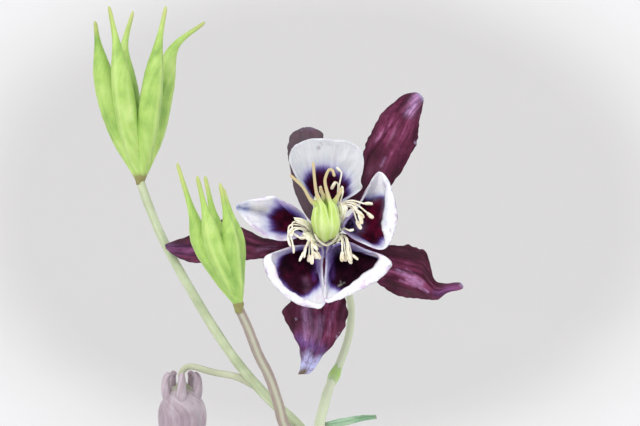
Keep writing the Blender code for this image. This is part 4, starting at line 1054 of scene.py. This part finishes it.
def add_carpel(body, k, line, style):
    """One carpel that turns about the pistil's middle line, with a ridge, two pale seams and its style."""
    bearing = math.radians(CARPEL_TURNS[k])
    twist = math.radians(CARPEL_TWIST)
    turn = (bearing + twist * np.linspace(0.0, 1.0, len(line)))[:, None]
    up = np.cross(RIGHT, unit(np.gradient(line, axis=0)))
    ovary = line + np.array(CARPEL_SPREADS)[:, None] * (np.cos(turn) * RIGHT + np.sin(turn) * up)
    points = np.vstack([ovary, seen(style)])
    radii = [*CARPEL_RADII, SHOULDER_RADIUS, STYLE_RADIUS + 0.06] + [STYLE_RADIUS] * (len(style) - 2)
    samples = CARPEL_STEPS * (len(points) - 1) + 1
    route = curve(points, samples)
    angles = round_angles(40)
    rows = np.arange(samples)[:, None]
    ovary_end = CARPEL_STEPS * (len(line) - 1)
    in_ovary = 1 - ease(rows, ovary_end + 2, ovary_end + 20)
    outward = angles + bearing + twist * np.minimum(rows / ovary_end, 1.0)
    half_turn = np.abs(np.sin(outward / 2))
    ridge = 0.1 * hump(half_turn, RIDGE_HALF_WIDTH) * in_ovary
    seam = hump(half_turn - SEAM_PLACE, SEAM_HALF_WIDTH) * in_ovary
    shape = 1 + ridge + 0.03 * seam + 0.02 * ripple(angles / 1.2, rows / 14.0, k)
    # The pale keels and seams are partly the carpels' own paler tissue and partly painted highlight
    body.add_grown(route, eased(radii, samples), shape, RIGHT, way_along(route), 3.1 * k, (0.95, 0.8, 0.45),
                   blush=1 - in_ovary, pale=0.85 * seam + 6.0 * ridge, foot=1 - ease(rows, 6, 26))


def make_pistil():
    """Five joined lime carpels with pale seams, each drawn out into a cream style."""
    material = plant_paint("pistil_tissue", ((166, 194, 88), (184, 208, 112), (212, 226, 166)),
                           (192, 176, 138), (112, 136, 58), 2.2, Roughness=0.5, Specular_IOR_Level=0.3,
                           Subsurface_Weight=0.1, Subsurface_Scale=0.0008)
    line = curve(seen(PISTIL_AXIS), len(CARPEL_SPREADS))
    body = Body()
    for k, style in enumerate(STYLES):
        add_carpel(body, k, line, style)
    make_piece("pistil_fine", body, material, "pistil", "pistil")


def stamen_paint():
    """Withered cream tissue, browner in the hollows and grooves."""
    paint = Paint("stamen_tissue", Roughness=0.6, Sheen_Weight=0.2, Subsurface_Weight=0.12,
                  Subsurface_Scale=0.0006)
    crumple = paint.noise(1400.0, 4.0, 0.6)
    paint.colour = paint.ramp(crumple, (0.25, (200, 184, 144)), (0.42, (232, 224, 200)),
                              (0.65, (248, 244, 232)))
    paint.tint((188, 170, 122), "groove", paint.sway(crumple, 0.7, 0.2))
    paint.tint((104, 84, 160), "blush")
    # Dark violet: painted shade in the violet sheath's middle seam, and dark tissue at its sides
    paint.tint((52, 28, 84), "deep")
    return paint.finish(crumple, FINE_BUMP)


def add_stamen(body, k, bearing, *places):
    """One stamen: its filament from the ring, and its shrivelled anther with two lobes."""
    *bends, start, last = np.reshape(places, (-1, 2))
    a = math.radians(bearing)
    out = math.cos(a) * RIGHT + math.sin(a) * UP
    root = BLOOM + STAMEN_ROOT[0] * out + STAMEN_ROOT[1] * BEHIND
    depth = STAMEN_DEPTH - 0.5 * math.sin(2.4 * k)
    route = [root, root + FILAMENT_RISE[0] * out + FILAMENT_RISE[1] * BEHIND]
    route += [seen((*bend, depth * (0.55 + 0.2 * j))) for j, bend in enumerate(bends)]
    filament = curve([*route, seen((*start, depth))], 30)
    body.add(rings_along(filament, np.full(30, FILAMENT_RADIUS), round_angles(8), upright_side(filament)),
             blush=0.0, deep=0.0, groove=0.0)
    run = last - start
    side = np.array([run[1], -run[0]]) * 0.05 * math.sin(2.9 * k)
    tilt = 0.5 * math.sin(1.7 * k)
    anther = curve([seen((*(start + run * s + side * 4 * s * (1 - s)), depth + tilt * s))
                    for s in ANTHER_SHARES], ANTHER_STEPS)
    s = np.linspace(0.0, 1.0, ANTHER_STEPS)[:, None]
    rounded = np.sqrt(np.clip(1 - (2 * s - 1) ** 6, 0.03, 1.0))
    girth = ANTHER_RADIUS * rounded * (0.82 + 0.18 * np.sin(math.pi * s))
    turn = round_angles(20)
    lobes = np.cos(2 * turn + 0.8 * k)
    shape = girth * (1 + 0.24 * lobes + 0.06 * ripple(turn / 1.4, s * 3.0, k + 7))
    body.add(rings_along(anther, shape, turn, upright_side(anther)), blush=0.02 * (k % 3), deep=0.0,
             groove=0.5 - 0.5 * lobes)


def make_stamens():
    """Ring of withered stamens that arch from the pistil's base, and the thin sheaths behind them."""
    body = Body()
    ring = np.array([[BLOOM + r * (math.cos(a) * RIGHT + math.sin(a) * UP) + depth * BEHIND
                      for r, depth in STAMEN_RING] for a in round_angles(48)])
    body.add(np.concatenate([ring, ring[:1]]), capped=False, blush=0.0, deep=0.0, groove=0.0)
    for k, stamen in enumerate(STAMENS):
        add_stamen(body, k, *stamen)
    for k, (rows, tint) in enumerate(zip(SHEATHS, SHEATH_TINTS)):
        grid, along, across = leaf_surface(rows, 30, 18)
        relief = 0.16 * ripple(across * 1.1, along * 1.5, k + 3) * ease(along, 0.0, 0.3)
        ridge = hump(np.abs(across) - 0.42, 0.16)
        # On the violet sheath the deep mark is painted shade down the middle seam, where two petal margins
        # meet, and the petals' own dark insides at its sides
        seam = hump(across, 0.14) + ease(np.abs(across), 0.7, 1.0)
        body.add_leaf(grid, across, relief + 0.2 * tint * ridge, SHEATH_THICKNESS,
                      blush=tint * (1 - 0.45 * ridge), deep=tint * seam * 0.9,
                      groove=(1 - tint) * 0.2 * np.abs(across))
    make_piece("stamens_fine", body, stamen_paint(), "stamen", "stamens")


def add_follicle(body, k, points, girth, middle):
    """One follicle with its keel outward, its seam inward, a fine net and a slender beak."""
    route = curve(seen(points), POD_STEPS)
    radii = [r * girth for r in POD_RADII[:-1]] + [POD_RADII[-1]]
    angles = round_angles(40)
    half_way = POD_STEPS // 2
    along = unit(np.gradient(route, axis=0))[half_way]
    side = upright_side(route)
    side = unit(side - along * np.dot(side, along))
    out = route[half_way] - middle
    keel = math.atan2(np.dot(out, np.cross(along, side)), np.dot(out, side))
    s = np.linspace(0.0, 1.0, POD_STEPS)[:, None]
    swell = ease(s, 0.03, 0.2) * (1 - ease(s, 0.6, 0.9))
    ridge = 0.1 * hump(np.sin((angles - keel) / 2), 0.09)
    seam = 0.07 * hump(np.cos((angles - keel) / 2), 0.07)
    length = np.cumsum(np.linalg.norm(np.gradient(route, axis=0), axis=1))[:, None]
    shape = 1 + swell * (ridge - seam + 0.012 * ripple(angles / 0.9, length / 2.2, k + 5))
    body.add_grown(route, eased(radii, POD_STEPS), shape, side, length, 7.0 * k,
                   blush=0.5 * ease(s, 0.8, 1.0), pale=5.0 * ridge * swell, foot=1 - ease(s, 0.0, 0.04))


def make_pods():
    """Seed heads of five follicles each, keeled and finely netted, with slender beaks."""
    material = plant_paint("pod_tissue", ((112, 152, 68), (158, 190, 98), (188, 210, 132)),
                           (186, 176, 122), (126, 118, 74), 0.7, Roughness=0.55, Specular_IOR_Level=0.3,
                           Subsurface_Weight=0.1, Subsurface_Scale=0.0012)
    for name, (pod, girth) in PODS.items():
        body = Body()
        follicles = seen(pod)
        for k, follicle in enumerate(pod):
            add_follicle(body, k, follicle, girth, follicles[:, 2].mean(axis=0))
        collar = [follicles[:, 0].mean(axis=0) + rise * UP for rise in COLLAR_RISE]
        body.add_tube(collar, [r * girth for r in COLLAR_RADII], 24, 28, (0.0, 0.0, 1.0), 5, 0.05, 9)
        make_piece(name + "_fine", body, material, "pod", name)


def make_bud():
    """Closed nodding bud of five folded sepals, with five short spurs above."""
    material = plant_paint("bud_tissue", ((120, 100, 112), (156, 140, 150), (190, 180, 188)),
                           (156, 164, 132), (140, 142, 108), 1.4, Roughness=0.5, Sheen_Weight=0.2,
                           Subsurface_Weight=0.1, Subsurface_Scale=0.001)
    top = seen(BUD_TOP)
    body = Body()
    route = curve([top - BUD_LENGTH * k / 6 * UP for k in range(7)], BUD_STEPS)
    angles = round_angles(80)
    s = np.linspace(0.0, 1.0, BUD_STEPS)[:, None]
    fold = np.abs(np.sin(2.5 * (angles + 0.9 * s)))
    shape = 1 - 0.13 * (1 - fold) ** 3 * ease(s, 0.1, 0.4) + 0.015 * ripple(angles, s * 3, 4)
    shape[0] *= 0.5
    body.add_grown(route, eased(BUD_RADII, BUD_STEPS), shape, BEHIND, s * BUD_LENGTH, 0.0,
                   (0.92, 0.75, 0.4), blush=0.75 * ease(s, 0.55, 0.95), pale=0.5 * (1 - fold) ** 5,
                   foot=1 - ease(s, 0.0, 0.1))
    radii, rises = zip(*BUD_NECK)
    body.add_tube([top + rise * UP for rise in rises], radii, 16, 24, (0.0, 0.0, 1.0), 5, 0.03, 3, CUT_TIP)
    for k in range(5):
        a = math.radians(72.0 * k + BUD_SPUR_TURN)
        out = math.cos(a) * RIGHT + math.sin(a) * BEHIND
        spur = [top + out * reach + UP * rise for reach, rise in BUD_SPUR]
        body.add_tube(spur, BUD_SPUR_RADII, 30, 16, (0.0, 0.0, 0.0), 3, 0.04, k + 4)
    make_piece("bud_fine", body, material, "bud", "bud")


def make_bract():
    """Narrow green leaf with a midrib and fine veins."""
    material = plant_paint("bract_tissue", ((92, 132, 100), (126, 164, 130), (166, 192, 164)),
                           (130, 110, 110), (120, 140, 110), 2.4, Roughness=0.55, Sheen_Weight=0.12,
                           Subsurface_Weight=0.08, Subsurface_Scale=0.0008)
    grid, along, across = leaf_surface(BRACT, 80, 24)
    midrib = 0.22 * hump(across, 0.16) * ease(1 - along, 0.0, 0.2)
    relief = 0.3 * across ** 2 * ease(along, 0.1, 0.6) - midrib + 0.08 * ripple(along * 5, across, 9)
    flow = flow_mark(across * 0.9, 9.5 * along, 0.0)
    body = Body()
    body.add_leaf(grid, across, relief, SEPAL_THICKNESS, flow=flow, blush=0.5 * ease(along, 0.93, 1.0),
                  pale=0.7 * hump(across, 0.1), foot=1 - ease(along, 0.0, 0.1))
    make_piece("bract_fine", body, material, "bract", "bract")


def vase_paint():
    """Cream glaze with fine iron specks and pooled thickness, and bare clay on the foot."""
    paint = Paint("vase_glaze", Roughness=0.16, Coat_Weight=0.5, Coat_Roughness=0.08,
                  Specular_IOR_Level=0.5)
    cloud = paint.noise(34.0, 4.0, 0.5)
    rings = paint.noise(1.0, 2.0, stretch=(6.0, 6.0, 260.0))
    fine = paint.noise(900.0)
    level = paint.plus(paint.sway(cloud, 0.0, 0.7), paint.span(rings, 0.35, 0.65, 0.0, 0.3))
    paint.colour = paint.ramp(level, (0.0, (206, 204, 192)), (0.5, (224, 222, 212)), (1.0, (236, 234, 226)))
    paint.tint((122, 98, 74), paint.dots(330.0, 0.12), paint.span(fine, 0.5, 0.62), 0.7)
    bare = paint.span("height", 0.9, 1.3, 1.0, 0.0)
    paint.tint(paint.ramp(fine, (0.3, (176, 156, 132)), (0.7, (206, 188, 164))), bare)
    rough = paint.maths("MAXIMUM", paint.sway(fine, 0.13, 0.2), paint.times(bare, 0.75))
    return paint.finish(paint.plus(paint.times(rings, 2.0), paint.times(fine, 0.15)), FINE_BUMP, rough)


def make_vase():
    """Bottle with faint throwing rings, a rounded lip and a shallow hollow under its foot."""
    outside = curve(VASE_OUTSIDE, 130)
    inside = curve(VASE_INSIDE, VASE_INSIDE_STEPS)
    height = outside[:, 1]
    rings = 0.07 * np.sin(2 * math.pi * height / 3.3)
    outside[:, 0] += rings * ease(height, 3.0, 14.0) * (1 - ease(height, 96.0, 112.0))
    lip = curve((outside[-1], *VASE_LIP, inside[0]), 10)[1:-1]
    profile = np.concatenate([FOOT_HOLLOW, outside, lip, inside])
    body = Body()
    body.add(turned(profile[:, :1], profile[:, 1:], round_angles(VASE_SIDES)), height=profile[:, 1:])
    make_piece("vase_fine", body, vase_paint(), "glaze", "vase")


def make_water():
    """Clear water to its level, with a raised edge at the glaze and round the stem."""
    paint = Paint("water_clear", Roughness=0.03, Transmission_Weight=1.0, IOR=1.333)
    paint.colour = paint.ramp(paint.noise(60.0), (0.3, (236, 242, 240)), (0.7, (246, 250, 248)))
    material = paint.finish(paint.noise(45.0, 1.0), 0.0002)
    wall = curve(VASE_INSIDE, VASE_INSIDE_STEPS)[::-1]
    level = np.interp(WATER_TOP, wall[:, 1], wall[:, 0])
    wall = np.vstack([wall[wall[:, 1] < WATER_TOP], (level, WATER_TOP)])
    slope = unit(np.gradient(wall, axis=0))
    profile = wall + np.stack([-slope[:, 1], slope[:, 0]], axis=1) * WATER_CLEARANCE
    angles = round_angles(96)
    outer = turned(profile[:, :1], profile[:, 1:], angles)
    hole = turned(STEM_RADIUS + STEM_CLEARANCE, 0.0, angles)
    top_hole = stem_point(WATER_TOP) + hole
    bottom_hole = stem_point(profile[0, 1]) + hole
    share = np.linspace(0.0, 1.0, 24)[1:, None, None]
    surface = outer[-1] * (1 - share) + top_hole * share
    share = share[:, :, 0]
    surface[:, :, 2] += 0.5 * np.exp((share - 1) / 0.08) - 0.5 * (1 - np.exp(-share / 0.06))
    sink = np.linspace(0.0, 1.0, 12)[1:, None, None]
    bore = surface[-1] * (1 - sink) + bottom_hole * sink
    under = bottom_hole * (1 - sink) + outer[0] * sink
    body = Body()
    body.add(np.concatenate([outer, surface, bore, under]), capped=False)
    make_piece("water_fine", body, material, "water", "water")


def make_camera():
    data = bpy.data.cameras.new("camera")
    data.sensor_width = SENSOR
    data.lens = SENSOR * -EYE[1] / VIEW_WIDTH
    data.clip_start = 0.01
    camera = add_object("camera", data)
    camera.location = EYE * MM
    camera.rotation_euler = (math.radians(90.0), 0.0, 0.0)
    bpy.context.scene.camera = camera


def area_light(name, place, size, power, colour):
    """Soft square light that faces the bloom."""
    data = bpy.data.lights.new(name, "AREA")
    data.size = size
    data.energy = power
    data.color = colour
    light = add_object(name, data)
    light.location = place
    x, y, z = BLOOM * MM - np.array(place)
    light.rotation_euler = (math.atan2(math.hypot(x, y), -z), 0.0, math.atan2(-x, y))


def backdrop_paint():
    """Pale paper with painted shade in the middle of the eye's view, turning to painted light away from it.
    """
    paint = Paint("backdrop_paper", Roughness=0.9, Specular_IOR_Level=0.1)
    grain = paint.noise(3.0, 2.0)
    shift = paint.node("VectorMath", {0: paint.object_place, 1: tuple(EYE * MM)}, operation="SUBTRACT")
    x, y, z = paint.node("SeparateXYZ", {"Vector": shift.outputs[0]}).outputs
    squares = [paint.maths("POWER", paint.maths("DIVIDE", paint.times(side, spread), y), 2.0)
               for side, spread in ((x, BACKDROP_SPREAD[0]), (z, BACKDROP_SPREAD[1]))]
    away = paint.maths("POWER", paint.plus(*squares), 0.5)
    level = paint.plus(paint.span(away, *BACKDROP_FADE), paint.sway(grain, -0.04, 0.04))
    paint.colour = paint.ramp(level, (0.0, (226, 224, 223)), (0.2, (230, 228, 227)), (0.6, (244, 243, 242)),
                              (1.0, (252, 251, 251)))
    return paint.finish()


def make_backdrop():
    """Floor that bends up into a round wall, open above."""
    turn = np.linspace(0.0, math.pi / 2, 40)
    flat = np.linspace(0.0, FLOOR_RADIUS, 14)[1:-1]
    radii = np.concatenate([flat, FLOOR_RADIUS + (WALL_RADIUS - FLOOR_RADIUS) * np.sin(turn)])[:, None]
    heights = np.concatenate([0 * flat, WALL_HEIGHT * (1 - np.cos(turn))])[:, None]
    body = Body()
    body.add(turned(radii, heights, round_angles(BACKDROP_SIDES)), capped=False)
    body.faces.append(list(range(BACKDROP_SIDES)))
    make_object("backdrop", body, backdrop_paint())


def make_studio():
    """Backdrop under a pale sky, with two soft lights in front."""
    make_backdrop()
    world = bpy.data.worlds.new("studio_sky")
    world.use_nodes = True
    sky = world.node_tree.nodes["Background"]
    sky.inputs["Color"].default_value = SKY_COLOUR
    sky.inputs["Strength"].default_value = SKY_STRENGTH
    bpy.context.scene.world = world
    for name, light in LIGHTS.items():
        area_light(name, *light)
    bpy.context.scene.view_settings.view_transform = "Standard"


make_camera()
make_studio()
make_vase()
make_water()
make_stem()
sepal_material = sepal_paint()
for number, (sepal_name, sepal_rows) in enumerate(SEPALS.items(), 1):
    sepal(sepal_name, sepal_rows, number, sepal_material)
petal_material = petal_paint()
for number, (petal_name, (petal_mouth, petal_throat)) in enumerate(PETALS.items(), 1):
    petal(petal_name, petal_mouth, petal_throat, number, petal_material)
make_pistil()
make_stamens()
make_pods()
make_bud()
make_bract()
